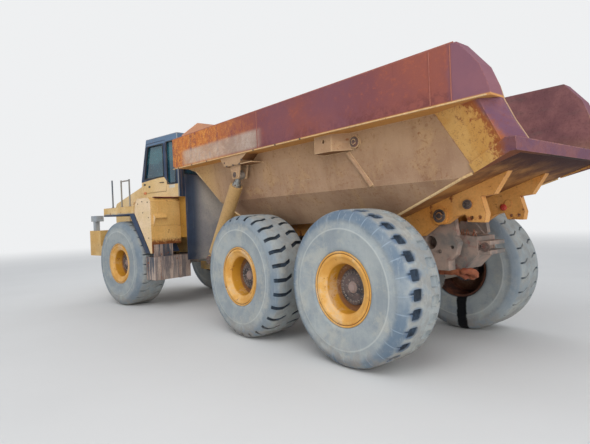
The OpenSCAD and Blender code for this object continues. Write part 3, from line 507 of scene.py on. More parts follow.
def tyre_rubber(name, oil=False, pitted=False):
    """Bleached rubber: blue shoulders, painted shade in the grooves and pits, a pale moulded ring and mud low
    down.
    """
    f = Finish(name, 0.25)
    out, across = f.wheel("X"), f.wheel("Z")
    side = abs(across)
    cloud = f.noise(2, 6, 0.6)
    mottle = f.noise(9, 6, 0.65)
    fine = f.noise(90, 4, 0.65)
    stray = mottle - 0.5
    f.base = f.between(tyre_chalk, "8e969a", cloud, 0.34, 0.64)
    f.lay("b4b2a8", f.noise(3.5, 7, 0.7), 0.48, 0.66, 0.6)
    shoulder = f.rise(out + stray * 0.09, 0.71, 0.79) * f.rise(out + stray * 0.06, 0.885, 0.84)
    patchy = f.rise(f.noise(1.3, 4, 0.6), 0.34, 0.56)
    bluest = 0.55 if pitted else 0.25
    f.coat(tyre_blue, shoulder * f.rise(side, 0.2, 0.27) * (0.25 + patchy * bluest))
    f.coat("96928a", f.rise(out, 0.855, 0.868) * f.rise(mottle, 0.38, 0.62) * 0.6)
    f.lay("70808c", mottle, 0.5, 0.72, 0.3)
    f.lay("bcc0be", f.streaks((30, 30, 2), 4, 0.6), 0.56, 0.7, 0.2)
    # How deep a point lies below the curved tread
    wide = (side - 0.2).larger(0)
    depth = tyre_radius - wide * wide * 5 - out
    pit = f.rise(depth, 0.006, 0.018) * f.rise(side, 0.315, 0.295)
    if pitted:
        pit = pit * f.rise(across, -0.06, 0.02)
        apart = abs((f.wheel("Y") * (lugs_around / math.tau) + 0.5).fraction() - 0.5) * 2.4
        beside = abs(across - 0.16) * 9
        halo = f.rise(apart * apart + beside * beside + stray * 1.6, 1.25, 0.25)
        f.coat("4e6682", halo * f.rise(out, 0.8, 0.84) * 0.9)
        f.coat("b0beca", f.rise(apart, 0.12, 0.02) * shoulder * f.rise(across, 0.24, 0.3) * 0.35)
    # Painted shade: dark blue-grey deep in the grooves and pits
    f.coat(f.between(tyre_dark, "3e4e60", mottle, 0.4, 0.66), pit * 0.92)
    ring = f.rise(abs(out - 0.665 + (cloud - 0.5) * 0.01), 0.012, 0.003) * f.rise(side, 0.29, 0.3)
    f.coat("ced0ca", ring * 0.35)
    f.coat("968e84", f.rise(f.axis("Z") + cloud * 0.25, 0.5, 0.16) * f.rise(mottle, 0.36, 0.6) * 0.75)
    f.lay(tyre_dark, fine, 0.55, 0.75, 0.2)
    if oil:
        stripe = f.rise(abs(f.axis("X") + 5.02 + stray * 0.06), 0.085, 0.06)
        f.coat("0e0e12", stripe * f.rise(f.axis("Z"), 0.56, 0.5) * f.rise(f.axis("Y"), -1, -0.95))
    return f.wear(0.86, fine * 0.35 + mottle * 0.7, 0.004, 0.007)


def window_glass():
    """Dark teal cab glass with a painted reflection: a lighter band across its upper part."""
    f = Finish("window_glass", 0.8, Coat_Weight=0.5)
    z = f.axis("Z")
    f.base = f.between("0e3646", "1a5262", f.noise(1.5, 3), 0.3, 0.7)
    # Painted reflection: a lighter teal band across the upper part of the glass
    f.coat("3c767c", f.rise(z + f.noise(3, 3) * 0.12, 2.98, 3.04) * f.rise(z, 3.3, 3.16) * 0.5)
    dust = f.rise(f.noise(14, 5, 0.7), 0.5, 0.75)
    f.coat("96968a", dust * 0.14)
    f.fill(f.shader, {"Alpha": 0.88 + dust * 0.06})
    return f.wear(0.1 + dust * 0.3, edge=0)


def piston_chrome():
    """Cylinder rods: once bright, now dull with pale dust and rust freckles."""
    f = Finish("piston_chrome", 0.5, Metallic=0.9)
    spots = f.noise(26, 7, 0.7)
    f.base = f.between("b0b0ac", "7e5c42", spots, 0.56, 0.66)
    return f.wear(0.28 + spots * 0.4, spots, 0.001, edge=0)


def black_plastic():
    f = Finish("black_plastic")
    grain = f.noise(120, 3)
    f.base = f.between("222326", "484846", f.noise(4, 5), 0.4, 0.7)
    return f.wear(0.5 + grain * 0.2, grain, 0.001, 0.004)


def seat_cloth():
    f = Finish("seat_cloth", 0.2, Sheen_Weight=0.3)
    weave = f.node("ShaderNodeTexWave", {"bands_direction": "DIAGONAL"}, {
        "Vector": f.place, "Scale": 160, "Distortion": 0.6}, output="Fac")
    f.base = f.between("303034", "54504a", f.noise(3, 5), 0.35, 0.7)
    f.coat("18181a", weave * 0.3)
    return f.wear(0.9, weave, 0.001, edge=0)


def lens(name, colour, rough=0.18):
    """A dusty lamp lens."""
    f = Finish(name, 0.6, Coat_Weight=0.4)
    dust = f.rise(f.noise(60, 5), 0.45, 0.7)
    f.base = f.mix(dust * 0.4, colour, tan_dust)
    return f.wear(rough + dust * 0.4, edge=0)


yellow = old_paint("worn_yellow", ochre, ochre_pale, rust=0.3)
cab_yellow = old_paint("cab_yellow", ochre_pale, cream, rust=0.12, mud_top=0.9)
beam_yellow = old_paint("beam_yellow", "ce8a3e", "dca25c", rust=0.55, mud_top=0.9, chips=0.9)
hoist_tan = old_paint("hoist_tan", "b6905c", "c6a26c", rust=0.3, mud_top=1.2)
dark_yellow = old_paint("dark_yellow", "b08234", "c89c4c", rust=0.35, mud_top=1.5)
grey_sheet = old_paint("grey_sheet", "626a74", "969086", rust=0.3)
lamp_shell = old_paint("lamp_shell", "969ea6", "b2b4b2", rust=0.2)
seam_rust = old_paint("seam_rust", "96544a", "a86858", rust=0.3, mud_top=0)
edge_tan = old_paint("edge_tan", "d6b07a", "e2c494", rust=0.3, mud_top=0)
maroon = old_paint("maroon_strip", "602a2a", "7a3e38", rust=0.2, mud_top=0)
iron = dusty_iron("dusty_iron", "8a7c70", "5c5c5a")
frame_iron = dusty_iron("frame_iron", "ac9282", "706c68", grease=0.45, rust=0.35)
dark_iron = dusty_iron("dark_iron", "604230", "342620", grease=0.8, rust=0.8)
pin_steel = dusty_iron("pin_steel", "6e5c54", "3c3432", grease=0.5, rust=0.6)
bed_iron = dusty_iron("bed_iron", "846046", "68544a", grease=0, rust=0.6)
rust_iron = dusty_iron("rust_iron", "b27652", "8a4e34", grease=0, rust=0.9)
red_lens = lens("red_lens", "b22c22", 0.35)
orange_lens = lens("orange_lens", "d6701e", 0.3)
clear_lens = lens("clear_lens", "ced2ce")
cab_finish = cab_paint()
fender_finish = fender_paint()
box_finish = side_box_paint()
rim_finish = rim_paint()
hub_finish = hub_metal()
plastic = black_plastic()
cloth = seat_cloth()
rubber = tyre_rubber("tyre_rubber")
rubber_oiled = tyre_rubber("tyre_rubber_oiled", oil=True)
rubber_pitted = tyre_rubber("tyre_rubber_pitted", pitted=True)

# Which finish each CAD node wears; the tyres, rims and seat are hidden by what replaces them
for finish, names in (
        (yellow, "front_frame bumper"), (beam_yellow, "bed_beams"), (hoist_tan, "hoist_barrels"),
        (cab_yellow, "hood"), (dark_yellow, "cab_base"), (fender_finish, "fenders"),
        (box_finish, "side_box_left side_box_right"), (cab_finish, "cab_shell door"), (guard_paint(), "guards"),
        (grey_sheet, "handrails"), (tank_paint(), "tank_left tank_right"), (frame_iron, "rear_frame"),
        (iron, "rear_axles walking_beams hitch front_axle engine radiator"),
        (iron, "steer_barrel_left steer_barrel_right"),
        (bed_side_finish(), "bed_side_left bed_side_right"), (bed_floor_finish(), "bed_floor"),
        (bed_front_finish(), "bed_front"), (bed_tail_finish(), "bed_tail"), (lamp_shell, "head_lamps"),
        (window_glass(), "cab_glass door_glass"), (plastic, "dash"), (cloth, "seat"),
        (piston_chrome(), "steer_rod_left steer_rod_right hoist_stage_a hoist_stage_b hoist_rods")):
    for name in names.split():
        nodes[name].data.materials.clear()
        nodes[name].data.materials.append(finish)


def turn(degrees, axis):
    return Matrix.Rotation(math.radians(degrees), 4, axis)


# The front unit is drawn straight ahead and then turned to where it stands; mirror goes from left to right
shift = Matrix.Translation
front_turn = Matrix.Rotation(steer_rest, 4, "Z")
mirror = Matrix.Scale(-1, 4, (0, 1, 0))


def settle(piece):
    """Selects a piece alone and puts its place, turn and size into its mesh."""
    bpy.ops.object.select_all(action="DESELECT")
    piece.select_set(True)
    bpy.context.view_layer.objects.active = piece
    bpy.ops.object.transform_apply(location=True, rotation=True, scale=True)
    return piece


def start(name, primitive, **settings):
    """Adds a primitive as by hand, with nothing else selected."""
    bpy.ops.object.select_all(action="DESELECT")
    primitive(**settings)
    piece = bpy.context.object
    piece.name = piece.data.name = name
    return settle(piece)


def cube(name, middle, size, lean=(0, 0, 0)):
    return start(name, bpy.ops.mesh.primitive_cube_add, size=1, location=middle, scale=size, rotation=lean)


def cylinder(name, radius, depth, middle, sides, lean=(0, 0, 0)):
    return start(name, bpy.ops.mesh.primitive_cylinder_add, vertices=sides, radius=radius, depth=depth,
                 location=middle, rotation=lean)


def ball(name, radius, middle, sides, rings):
    return start(name, bpy.ops.mesh.primitive_uv_sphere_add, segments=sides, ring_count=rings, radius=radius,
                 location=middle)


def pick(piece, kind, test):
    """Enters edit mode with the faces or edges selected for which test is true."""
    bpy.ops.object.mode_set(mode="EDIT")
    bpy.ops.mesh.select_mode(type={"polygons": "FACE", "edges": "EDGE"}[kind])
    bpy.ops.mesh.select_all(action="DESELECT")
    bpy.ops.object.mode_set(mode="OBJECT")
    for element in getattr(piece.data, kind):
        element.select = bool(test(element))
    bpy.ops.object.mode_set(mode="EDIT")


def whole():
    """Enters edit mode with all of the active piece selected."""
    bpy.ops.object.mode_set(mode="EDIT")
    bpy.ops.mesh.select_all(action="SELECT")


def done():
    bpy.ops.object.mode_set(mode="OBJECT")


def tidy(piece, smooth=35):
    """Merges doubles, turns the faces outwards and smooths what is nearly flat."""
    settle(piece)
    whole()
    bpy.ops.mesh.remove_doubles(threshold=0.0002)
    bpy.ops.mesh.normals_make_consistent(inside=False)
    done()
    bpy.ops.object.shade_smooth_by_angle(angle=math.radians(smooth))
    return piece


def modify(piece, kind, **settings):
    """Adds a modifier and applies it at once."""
    bpy.context.view_layer.objects.active = piece
    made = piece.modifiers.new(kind.title(), kind)
    for key, value in settings.items():
        setattr(made, key, value)
    bpy.ops.object.modifier_apply(modifier=made.name)
    return piece


def moved(piece, matrix):
    piece.data.transform(matrix)
    return piece


def copy_of(piece, name, matrix):
    """A copy with a mesh of its own, put in its place."""
    made = piece.copy()
    made.data = piece.data.copy()
    made.name = made.data.name = name
    bpy.context.scene.collection.objects.link(made)
    return moved(made, matrix)


def remove(piece):
    bpy.data.objects.remove(piece, do_unlink=True)


def joined(parts, name=None):
    """Several pieces as one, called as the first of them unless it is given a name."""
    first = parts[0]
    bpy.ops.object.select_all(action="DESELECT")
    for part in parts:
        part.select_set(True)
    bpy.context.view_layer.objects.active = first
    if len(parts) > 1:
        bpy.ops.object.join()
    first.name = first.data.name = name or first.name
    return first


def repeated(piece, matrices):
    """Copies of a piece at several places as one object, instead of the piece itself."""
    name = piece.name
    copies = [copy_of(piece, name, matrix) for matrix in matrices]
    remove(piece)
    return joined(copies, name)


def at_all(piece, places):
    """One piece made of copies at these places."""
    return repeated(piece, [shift(place) for place in places])


def all_round(piece, count, first=0.0):
    """One piece made of copies evenly round Z."""
    return repeated(piece, [Matrix.Rotation(first + i * math.tau / count, 4, "Z") for i in range(count)])


def fit(parts, finish, body="front_frame", mirrored=False):
    """Joins parts, turns those drawn straight ahead with the front unit, and lets them ride on a body."""
    piece = joined(parts) if isinstance(parts, list) else parts
    if mirrored:
        piece = tidy(joined([piece, copy_of(piece, piece.name, mirror)]))
    if body in front_bodies:
        moved(piece, front_turn)
    piece.data.materials.append(finish)
    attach(piece, body)
    return piece


def pair(parts, finish, body="front_frame"):
    """Fits parts on the left side, and their mirror image on the right."""
    return fit(parts, finish, body, mirrored=True)


def turned(name, stations, around=96, closed=False):
    """A turned form about Z: a ring drawn out from station to station, each a radius and a height."""
    radius, height = stations[0]
    piece = start(name, bpy.ops.mesh.primitive_circle_add, vertices=around, radius=radius,
                  location=(0, 0, height), fill_type="NOTHING")
    whole()
    for (r0, h0), (r1, h1) in zip(stations, stations[1:]):
        bpy.ops.mesh.extrude_edges_move(TRANSFORM_OT_translate={"value": (0, 0, h1 - h0)})
        bpy.ops.transform.resize(value=(r1 / r0, r1 / r0, 1), center_override=(0, 0, h1))
    if not closed:
        bpy.ops.mesh.edge_face_add()
        pick(piece, "edges", lambda e: all(
            abs(piece.data.vertices[v].co.z - height) < 1e-5
            and abs(piece.data.vertices[v].co.xy.length - radius) < 1e-4 for v in e.vertices))
        bpy.ops.mesh.edge_face_add()
    done()
    return tidy(piece)


def plate(name, low, high, bevel=0.004, segments=2):
    """A rounded block between two corners."""
    low, high = Vector(low), Vector(high)
    piece = cube(name, (low + high) / 2, high - low)
    if bevel:
        modify(piece, "BEVEL", width=bevel, segments=segments, harden_normals=False)
    return piece


def run_along(name, points, size, sides=0, closed=False):
    """A bar that follows a line of points: square, or round if it is given a number of sides."""
    points = [Vector(point) for point in points]
    ends = points + points[:1] if closed else points
    parts = []
    for a, b in zip(ends, ends[1:]):
        way = b - a
        lean = way.to_track_quat("Z", "Y").to_euler()
        if sides:
            parts.append(cylinder(name, size / 2, way.length, (a + b) / 2, sides, lean))
            if closed or b != ends[-1]:
                parts.append(ball(name, size / 2, b, sides, 6))
        else:
            bar = cube(name, (a + b) / 2, (size, size, way.length + size * 0.9), lean)
            parts.append(modify(bar, "BEVEL", width=size * 0.16, segments=1))
    return tidy(joined(parts), 40)


def prism(name, corners, low, high, bevel=0.003):
    """A plate whose outline is drawn as (x, z) corners, carried across from low to high."""
    piece = start(name, bpy.ops.mesh.primitive_circle_add, vertices=len(corners), radius=1, fill_type="NGON",
                  rotation=(math.radians(90), 0, 0))
    for point, (x, z) in zip(piece.data.vertices, corners):
        point.co = (x, low, z)
    whole()
    bpy.ops.mesh.extrude_region_move(TRANSFORM_OT_translate={"value": (0, high - low, 0)})
    bpy.ops.mesh.select_all(action="SELECT")
    bpy.ops.mesh.normals_make_consistent(inside=False)
    done()
    return tidy(modify(piece, "BEVEL", width=bevel, segments=1))


def bolt_head(name, radius, height, place=(0, 0, 0), look="Z"):
    """A hexagon head on its washer, standing on a face that looks along an axis."""
    washer = cylinder(name, radius * 1.35, height * 0.3, (0, 0, height * 0.15), 14)
    head = cylinder(name, radius, height, (0, 0, height * 0.55), 6)
    pick(head, "polygons", lambda f: f.normal.z > 0.9)
    bpy.ops.mesh.inset(thickness=radius * 0.14, depth=radius * 0.1)
    done()
    turns = {"X": turn(90, "Y"), "Y": turn(-90, "X"), "Z": Matrix()}
    return moved(joined([washer, head]), shift(place) @ turns[look])


def bolts_at(name, radius, height, places, look="Y"):
    """One piece with a bolt head at each place."""
    return tidy(at_all(bolt_head(name, radius, height, look=look), places), 30)


# Wheels are modelled flat, their outer side up, and then stood in their places
def wheel_place(end, side):
    """Where a wheel stands: its middle is that of its tyre, its outer side faces away from the truck."""
    low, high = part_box(f"tyre_{end}_{side}")
    steered = front_turn if end == "front" else Matrix()
    return shift((low + high) / 2) @ steered @ turn(-90 if side == "left" else 90, "X")


def both_treads(cutter, name):
    """Cutters all round the tread's upper half, and turned over between those on its lower half."""
    upper = all_round(cutter, lugs_around)
    lower = copy_of(upper, name, turn(180 / lugs_around, "Z") @ turn(180, "X"))
    return joined([upper, lower], name)


def groove_cutters(name, depth, width, inner):
    """Cutters for lug grooves, which run from the shoulder inwards and bend as far as inner."""
    cutter = cube("groove", (tyre_radius - depth + 0.05, 0, 0.25), (0.1, width, 0.2))
    pick(cutter, "polygons", lambda p: p.normal.z > 0.9)
    bpy.ops.transform.translate(value=(-depth * 0.9, 0, 0))
    pick(cutter, "polygons", lambda p: p.normal.z < -0.9)
    bpy.ops.mesh.extrude_region_move(TRANSFORM_OT_translate={"value": (0, 0.05, inner - 0.15)})
    done()
    return both_treads(modify(cutter, "BEVEL", width=0.006, segments=1), name)


def pit_cutters(name):
    """Cutters for the square pits and notches that are left of the grooves on a tyre worn further down."""
    middle = 0.148
    pit = cube("pit", (0.88, 0, middle), (0.09, 0.105, 0.125))
    pick(pit, "polygons", lambda p: p.normal.x > 0.9)
    bpy.ops.transform.resize(value=(1, 1.3, 1.25), center_override=(0.9, 0, middle))
    done()
    modify(pit, "BEVEL", width=0.018, segments=2)
    notch = cube("notch", (0.895, 0.02, 0.27), (0.06, 0.02, 0.16))
    pick(notch, "polygons", lambda p: p.normal.z > 0.9)
    bpy.ops.transform.translate(value=(-0.03, 0, 0))
    done()
    return both_treads(joined([pit, notch]), name)


def write_wheel_places(piece):
    """Stores on each point how far out, round and across it is, for the finishes of wheels."""
    layer = piece.data.attributes.new("wheel", "FLOAT_VECTOR", "POINT")
    for point, value in zip(piece.data.vertices, layer.data):
        x, y, z = point.co
        value.vector = (math.hypot(x, y), math.atan2(y, x), z)


def carved_tyre(name, cutters):
    """One closed tyre: bead, sidewall with its moulded rings, shoulder and crown, then the grooves cut."""
    half = [(0.4115, 0.285), (0.418, 0.304), (0.436, 0.317), (0.462, 0.322), (0.5, 0.321), (0.56, 0.327),
            (0.64, 0.335), (0.652, 0.3372), (0.668, 0.3372), (0.68, 0.334), (0.742, 0.325), (0.752, 0.3275),
            (0.772, 0.3255), (0.79, 0.318), (0.826, 0.298), (0.853, 0.272), (0.866, 0.245),
            (0.8725, 0.2), (tyre_radius, 0.12), (tyre_radius, 0)]
    other_half = [(radius, -height) for radius, height in reversed(half[:-1])]
    tyre = turned(name, half + other_half + half[:1], around=140, closed=True)
    modify(tyre, "BOOLEAN", operation="DIFFERENCE", object=cutters, solver="EXACT", use_self=True)
    remove(cutters)
    tidy(tyre, 32)
    write_wheel_places(tyre)
    return tyre


def make_tyres():
    """Grooves deep in the middle and shallow in front; at the rear pits on the left, grooves and oil right."""
    masters = {
        "deep": carved_tyre("tyre_deep", groove_cutters("deep_cut", 0.042, groove_width, 0.05)),
        "shallow": carved_tyre("tyre_shallow", groove_cutters("shallow_cut", 0.014, 0.026, 0.06)),
        "pitted": carved_tyre("tyre_pitted", pit_cutters("pit_cut")),
    }
    worn = {"front": ("shallow", rubber), "mid": ("deep", rubber),
            ("rear", "left"): ("pitted", rubber_pitted), ("rear", "right"): ("shallow", rubber_oiled)}
    for end, side in wheels:
        style, finish = worn.get(end) or worn[end, side]
        tyre = copy_of(masters[style], f"worn_tyre_{end}_{side}", wheel_place(end, side))
        fit(tyre, finish, f"wheel_{end}_{side}")
        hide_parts(f"tyre_{end}_{side}")
    for master in masters.values():
        remove(master)


def make_rims():
    """Rims with their flange, lock ring, well and valve, and the hub covers with bolts and cap."""
    rim = turned("rim_turned", [
        (0.384, -0.292), (0.41, -0.292), (0.41, 0.264), (0.42, 0.286), (0.4215, 0.3), (0.416, 0.312),
        (0.406, 0.314), (0.399, 0.31), (0.396, 0.303), (0.3905, 0.303), (0.387, 0.309), (0.379, 0.3125),
        (0.365, 0.312), (0.354, 0.309), (0.348, 0.301), (0.326, 0.29), (0.318, 0.286), (0.306, 0.2835),
        (0.294, 0.274), (0.283, 0.265), (0.277, 0.255), (0.275, 0.242), (0.275, 0.105), (0.269, 0.089),
        (0.256, 0.085), (0.204, 0.085), (0.204, 0.04), (0.368, 0.035), (0.384, 0.02), (0.384, -0.292)],
        closed=True)
    valve = run_along("valve", [(0.296, 0, 0.262), (0.284, 0, 0.29), (0.262, 0, 0.3)], 0.012, 10)
    rim = joined([rim, valve])
    cover = turned("hub_turned", [
        (0.205, -0.13), (0.205, 0.104), (0.198, 0.114), (0.186, 0.118), (0.15, 0.118), (0.145, 0.1225),
        (0.118, 0.1235), (0.112, 0.1275), (0.066, 0.1285), (0.061, 0.138), (0.05, 0.1405), (0.046, 0.15),
        (0.038, 0.1535)], around=64)
    outer_bolts = all_round(bolt_head("outer_bolts", 0.0115, 0.013, (0.169, 0, 0.1175)), 24)
    inner_bolts = all_round(bolt_head("inner_bolts", 0.0085, 0.01, (0.092, 0, 0.128)), 8, 0.2)
    plug = bolt_head("drain_plug", 0.015, 0.014, (0.131, 0.018, 0.1225))
    hub = joined([cover, outer_bolts, inner_bolts, plug])
    for master in (rim, hub):
        write_wheel_places(master)
    for index, (end, side) in enumerate(wheels):
        stand = wheel_place(end, side)
        worn_rim = fit(copy_of(rim, f"worn_rim_{end}_{side}", stand), rim_finish, f"wheel_{end}_{side}")
        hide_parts(f"rim_{end}_{side}")
        rolled = stand @ Matrix.Rotation(0.7 * index, 4, "Z")
        fit(copy_of(hub, f"worn_hub_{end}_{side}", rolled), hub_finish, f"wheel_{end}_{side}")
    remove(rim)
    remove(hub)


def pin_end(name, radius, place, body, look=1):
    """The end of a pin that looks to a side: stepped disc, raised middle and a keeper with two bolts."""
    disc = turned(name, [(radius, sunk), (radius, 0.009), (radius * 0.86, 0.013), (radius * 0.8, 0.009),
                         (radius * 0.46, 0.009), (radius * 0.4, 0.018), (radius * 0.24, 0.02)], around=36)
    keeper = [bolt_head(name, radius * 0.13, 0.01, (radius * 0.62 * side, 0, 0.009)) for side in (-1, 1)]
    fit(moved(tidy(joined([disc] + keeper), 30), shift(place) @ turn(-90 * look, "X")), pin_steel, body)


def pin_ends(body, *pins):
    """Pin ends on both sides of a body, each with its name, radius and place on the left side."""
    for side in (1, -1):
        for name, radius, (x, y, z) in pins:
            pin_end(name, radius, (x, side * y, z), body, side)


def side_y(z):
    """Half width of the bed's outer skin at height z, which bends at its knee."""
    return 1.005 + (z - 1.995) * 0.1473 if z > 1.995 else 0.66 + (z - 1.55) * 0.7753


def dress_bed():
    """Seams, flanges and edge strips of the bed, its wear bars, pin ends and the lamp under its tail."""
    inside = band_half - 0.002
    pair([plate("rail_seams", (x - 0.006, inside, band_foot + 0.02),
                (x + 0.006, band_half + 0.006, band_top - 0.012), 0.003, 1) for x in (-6.053, -6.272, -3.29)],
         seam_rust, "bed")
    pair(plate("rail_flanges", (-6.6, inside, band_foot + 0.001),
               (bed_nose, band_half + 0.01, band_foot + 0.015), 0.003, 1), edge_tan, "bed")
    pair(run_along("rail_top_bars", [(x, band_half - 0.012, band_top + 0.002) for x in (-6.3, -0.69)],
                   0.022, 8), seam_rust, "bed")
    front_edge = run_along("edge_strips", [(x, side_y(z), z) for x, z in (
        (-1.105, 2.565), (-1.85, 1.905), (-1.96, 1.815), (-2.29, 1.56))], 0.026)
    tail_edge = run_along("edge_strips", [(-5.12, 0.726, 1.628), (-6.182, 1.008, 1.993), (-6.265, 1.012, 2.02)],
                          0.024)
    pair([front_edge, tail_edge], edge_tan, "bed")
    fit([run_along("wear_bars", [(-2.5, y, 1.583), (-5.12, y, 1.66), (-6.6, y, 2.166)], 0.024)
         for y in (-0.45, -0.15, 0.15, 0.45)], bed_iron, "bed")
    channels = [plate("front_channels", (bed_nose, -0.98, z), (bed_nose + 0.024, 0.98, z + 0.07), 0.008)
                for z in (2.82, 3.02)]
    ribs = [plate("front_channels", (bed_nose, y - 0.03, 2.72), (bed_nose + 0.02, y + 0.03, 3.15), 0.006, 1)
            for y in (-0.7, 0, 0.7)]
    fit(channels + ribs, seam_rust, "bed")
    pin_ends("bed", ("hinge_pin_end", 0.075, (-5.59, 0.516, 1.63)), ("lug_pin_end", 0.052, (-5.94, 0.531, 1.743)),
             ("hoist_eye_end", 0.04, (-2.63, 1.281, 2.36)), ("side_boss_end", 0.058, (-4.891, 1.106, 2.523)))
    rivets = bolts_at("bed_bolts", 0.009, 0.01, [(x, band_half + 0.01, band_foot + 0.008)
                                                 for x in (-0.9, -1.4, -1.9, -3.2, -3.7, -4.2)])
    ear_bolts = bolts_at("bed_bolts", 0.012, 0.014, [(x, 1.302, 2.56) for x in (-2.4, -2.86)]
                         + [(x, 1.301, 2.505) for x in (-2.45, -2.63, -2.8)])
    pair([rivets, ear_bolts], pin_steel, "bed")
    lamp = turned("tail_lamp", [(0.04, sunk), (0.04, 0.012), (0.036, 0.02), (0.024, 0.026), (0.01, 0.028)], 32)
    fit(moved(lamp, shift((-5.886, -0.4, 1.698)) @ turn(-90, "X")), red_lens, "bed")


def axle_cover(name, ahead):
    """The domed cover on the back of an axle's middle, with its ring of bolts."""
    dome = turned(name, [(0.215, sunk), (0.215, 0.016), (0.172, 0.018), (0.15, 0.04), (0.11, 0.062),
                         (0.06, 0.072), (0.02, 0.074)], around=48)
    ring = all_round(bolt_head(name, 0.012, 0.016, (0.195, 0, 0.015)), 14)
    return moved(joined([dome, ring]), shift((ahead, 0, tyre_radius)) @ turn(-90, "Y"))


def make_shackle():
    """A torn, rusted shackle under the tail: a lumpy arm with an eye at its rear end."""
    arm = plate("shackle", (-5.67, 0.13, 0.935), (-5.38, 0.26, 1.005), 0.012)
    eye = start("shackle", bpy.ops.mesh.primitive_torus_add, major_segments=40, minor_segments=16,
                major_radius=0.072, minor_radius=0.036, location=(-5.735, 0.19, 0.955),
                rotation=(math.radians(32), math.radians(12), 0))
    hanger = plate("shackle", (-5.46, 0.16, 0.98), (-5.38, 0.24, 1.08), 0.012)
    shackle = modify(joined([arm, eye, hanger]), "REMESH", mode="VOXEL", voxel_size=0.012)
    lumps = bpy.data.textures.new("rust_lumps", "CLOUDS")
    lumps.noise_scale = 0.055
    return tidy(modify(shackle, "DISPLACE", texture=lumps, strength=0.045, mid_level=0.5), 40)


def rusted_rod(index, lean):
    """One of the thin rods in the tow jaw; they stand in a row and lean this way and that."""
    x, y = -5.64 - 0.03 * index, 0.13 + 0.01 * (index % 3)
    tip = (x + lean[0], y + lean[1], 1.455 + 0.008 * (index % 2))
    return run_along("rusted_rods", [(x, y, 1.37), tip], 0.01, 8)


def dress_rear_frame():
    """Shafts, pipes, axle covers and bolts of the rear frame, and the rusted rods and shackle at its tail."""
    fit([axle_cover("axle_covers", x) for x in (-3.14, -5.16)], iron, "rear_frame")
    shafts = [run_along("drive_shafts", [(a, 0, tyre_radius), (b, 0, z)], 0.1, 24)
              for a, b, z in ((-4.66, -3.2, tyre_radius), (-2.64, -0.86, 0.895))]
    joints = [run_along("drive_shafts", [(x - 0.06, 0, tyre_radius), (x + 0.06, 0, tyre_radius)], 0.17, 20)
              for x in (-4.62, -3.29, -2.6)]
    fit(shafts + joints, dark_iron, "rear_frame")
    pipe_y = rail_half + 0.016
    pipes = [run_along("brake_pipes", [(-0.98, pipe_y, z), (-5.3, pipe_y, z)], 0.02, 10) for z in (1.34, 1.31)]
    clips = [plate("brake_pipes", (x - 0.02, rail_half - 0.001, 1.29), (x + 0.02, rail_half + 0.031, 1.36),
                   0.004, 1) for x in (-1.3, -2.1, -3.0, -3.9, -4.7)]
    pair(pipes + clips, pin_steel, "rear_frame")
    cheek = bolts_at("frame_bolts", 0.016, 0.018, [(x, rail_half, z) for x, z in (
        (-5.43, 1.5), (-5.5, 1.22), (-5.36, 1.14), (-5.2, 1.1), (-5.2, 1.2))])
    rails = bolts_at("frame_bolts", 0.013, 0.015, [
        (x + dx, rail_half, z) for x in (-1.5, -2.45, -3.5, -4.4) for dx in (-0.06, 0.06) for z in (1.2, 1.36)])
    pair([cheek, rails], pin_steel, "rear_frame")
    leans = ((0, 0.02), (0.03, -0.02), (-0.02, 0.03), (0.02, 0.01), (-0.03, -0.02), (0.01, -0.03), (0.03, 0.02))
    fit([rusted_rod(index, lean) for index, lean in enumerate(leans)], rust_iron, "rear_frame")
    fit(make_shackle(), rust_iron, "rear_frame")
    pin_end("tow_block_end", 0.052, (-5.935, 0.171, 1.262), "rear_frame")
    pin_ends("rear_frame", ("beam_pin_end", 0.072, (-3.96, 0.605, 1.145)),
             ("hoist_foot_end", 0.066, (-1.72, 1.267, 1.04)))


def seal(name, corners, size=0.022):
    """A window's rubber seal."""
    return run_along(name, corners, size, closed=True)


def cushion(name, low, high, bulge):
    """A stuffed cushion with rounded sides and two stitched channels."""
    piece = plate(name, low, high, 0)
    whole()
    bpy.ops.mesh.subdivide(number_cuts=6)
    done()
    modify(piece, "BEVEL", width=0.03, segments=4, limit_method="ANGLE")
    middle = (Vector(low) + Vector(high)) / 2
    size = (Vector(high) - Vector(low)) / 2
    look = Vector(bulge)
    for point in piece.data.vertices:
        away = point.co - middle
        across = max(abs(away[i]) / size[i] for i in range(3) if abs(look[i]) < 1e-6)
        if away.dot(look) > 0:
            groove = max(0, 1 - abs(abs(away.y) - 0.11) / 0.025)
            point.co += look * (1 - across ** 2) - look * 0.5 * groove
    return tidy(piece, 60)


def make_seat():
    """The driver's seat: pedestal, base cushion and backrest."""
    fit([plate("seat_base", (0.5, -0.19, 2.262), (0.84, 0.19, 2.425), 0.012),
         plate("seat_base", (0.43, -0.25, 2.262), (0.89, 0.25, 2.29), 0.006, 1)], plastic)
    for name, low, high, bulge in (
            ("seat_cushion", (0.42, -0.25, 2.42), (0.9, 0.25, 2.548), (0, 0, 0.018)),
            ("seat_backrest", (0.332, -0.24, 2.535), (0.448, 0.24, 3.195), (0.018, 0, 0))):
        piece = fit(cushion(name, low, high, bulge), cloth)
        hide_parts("seat")


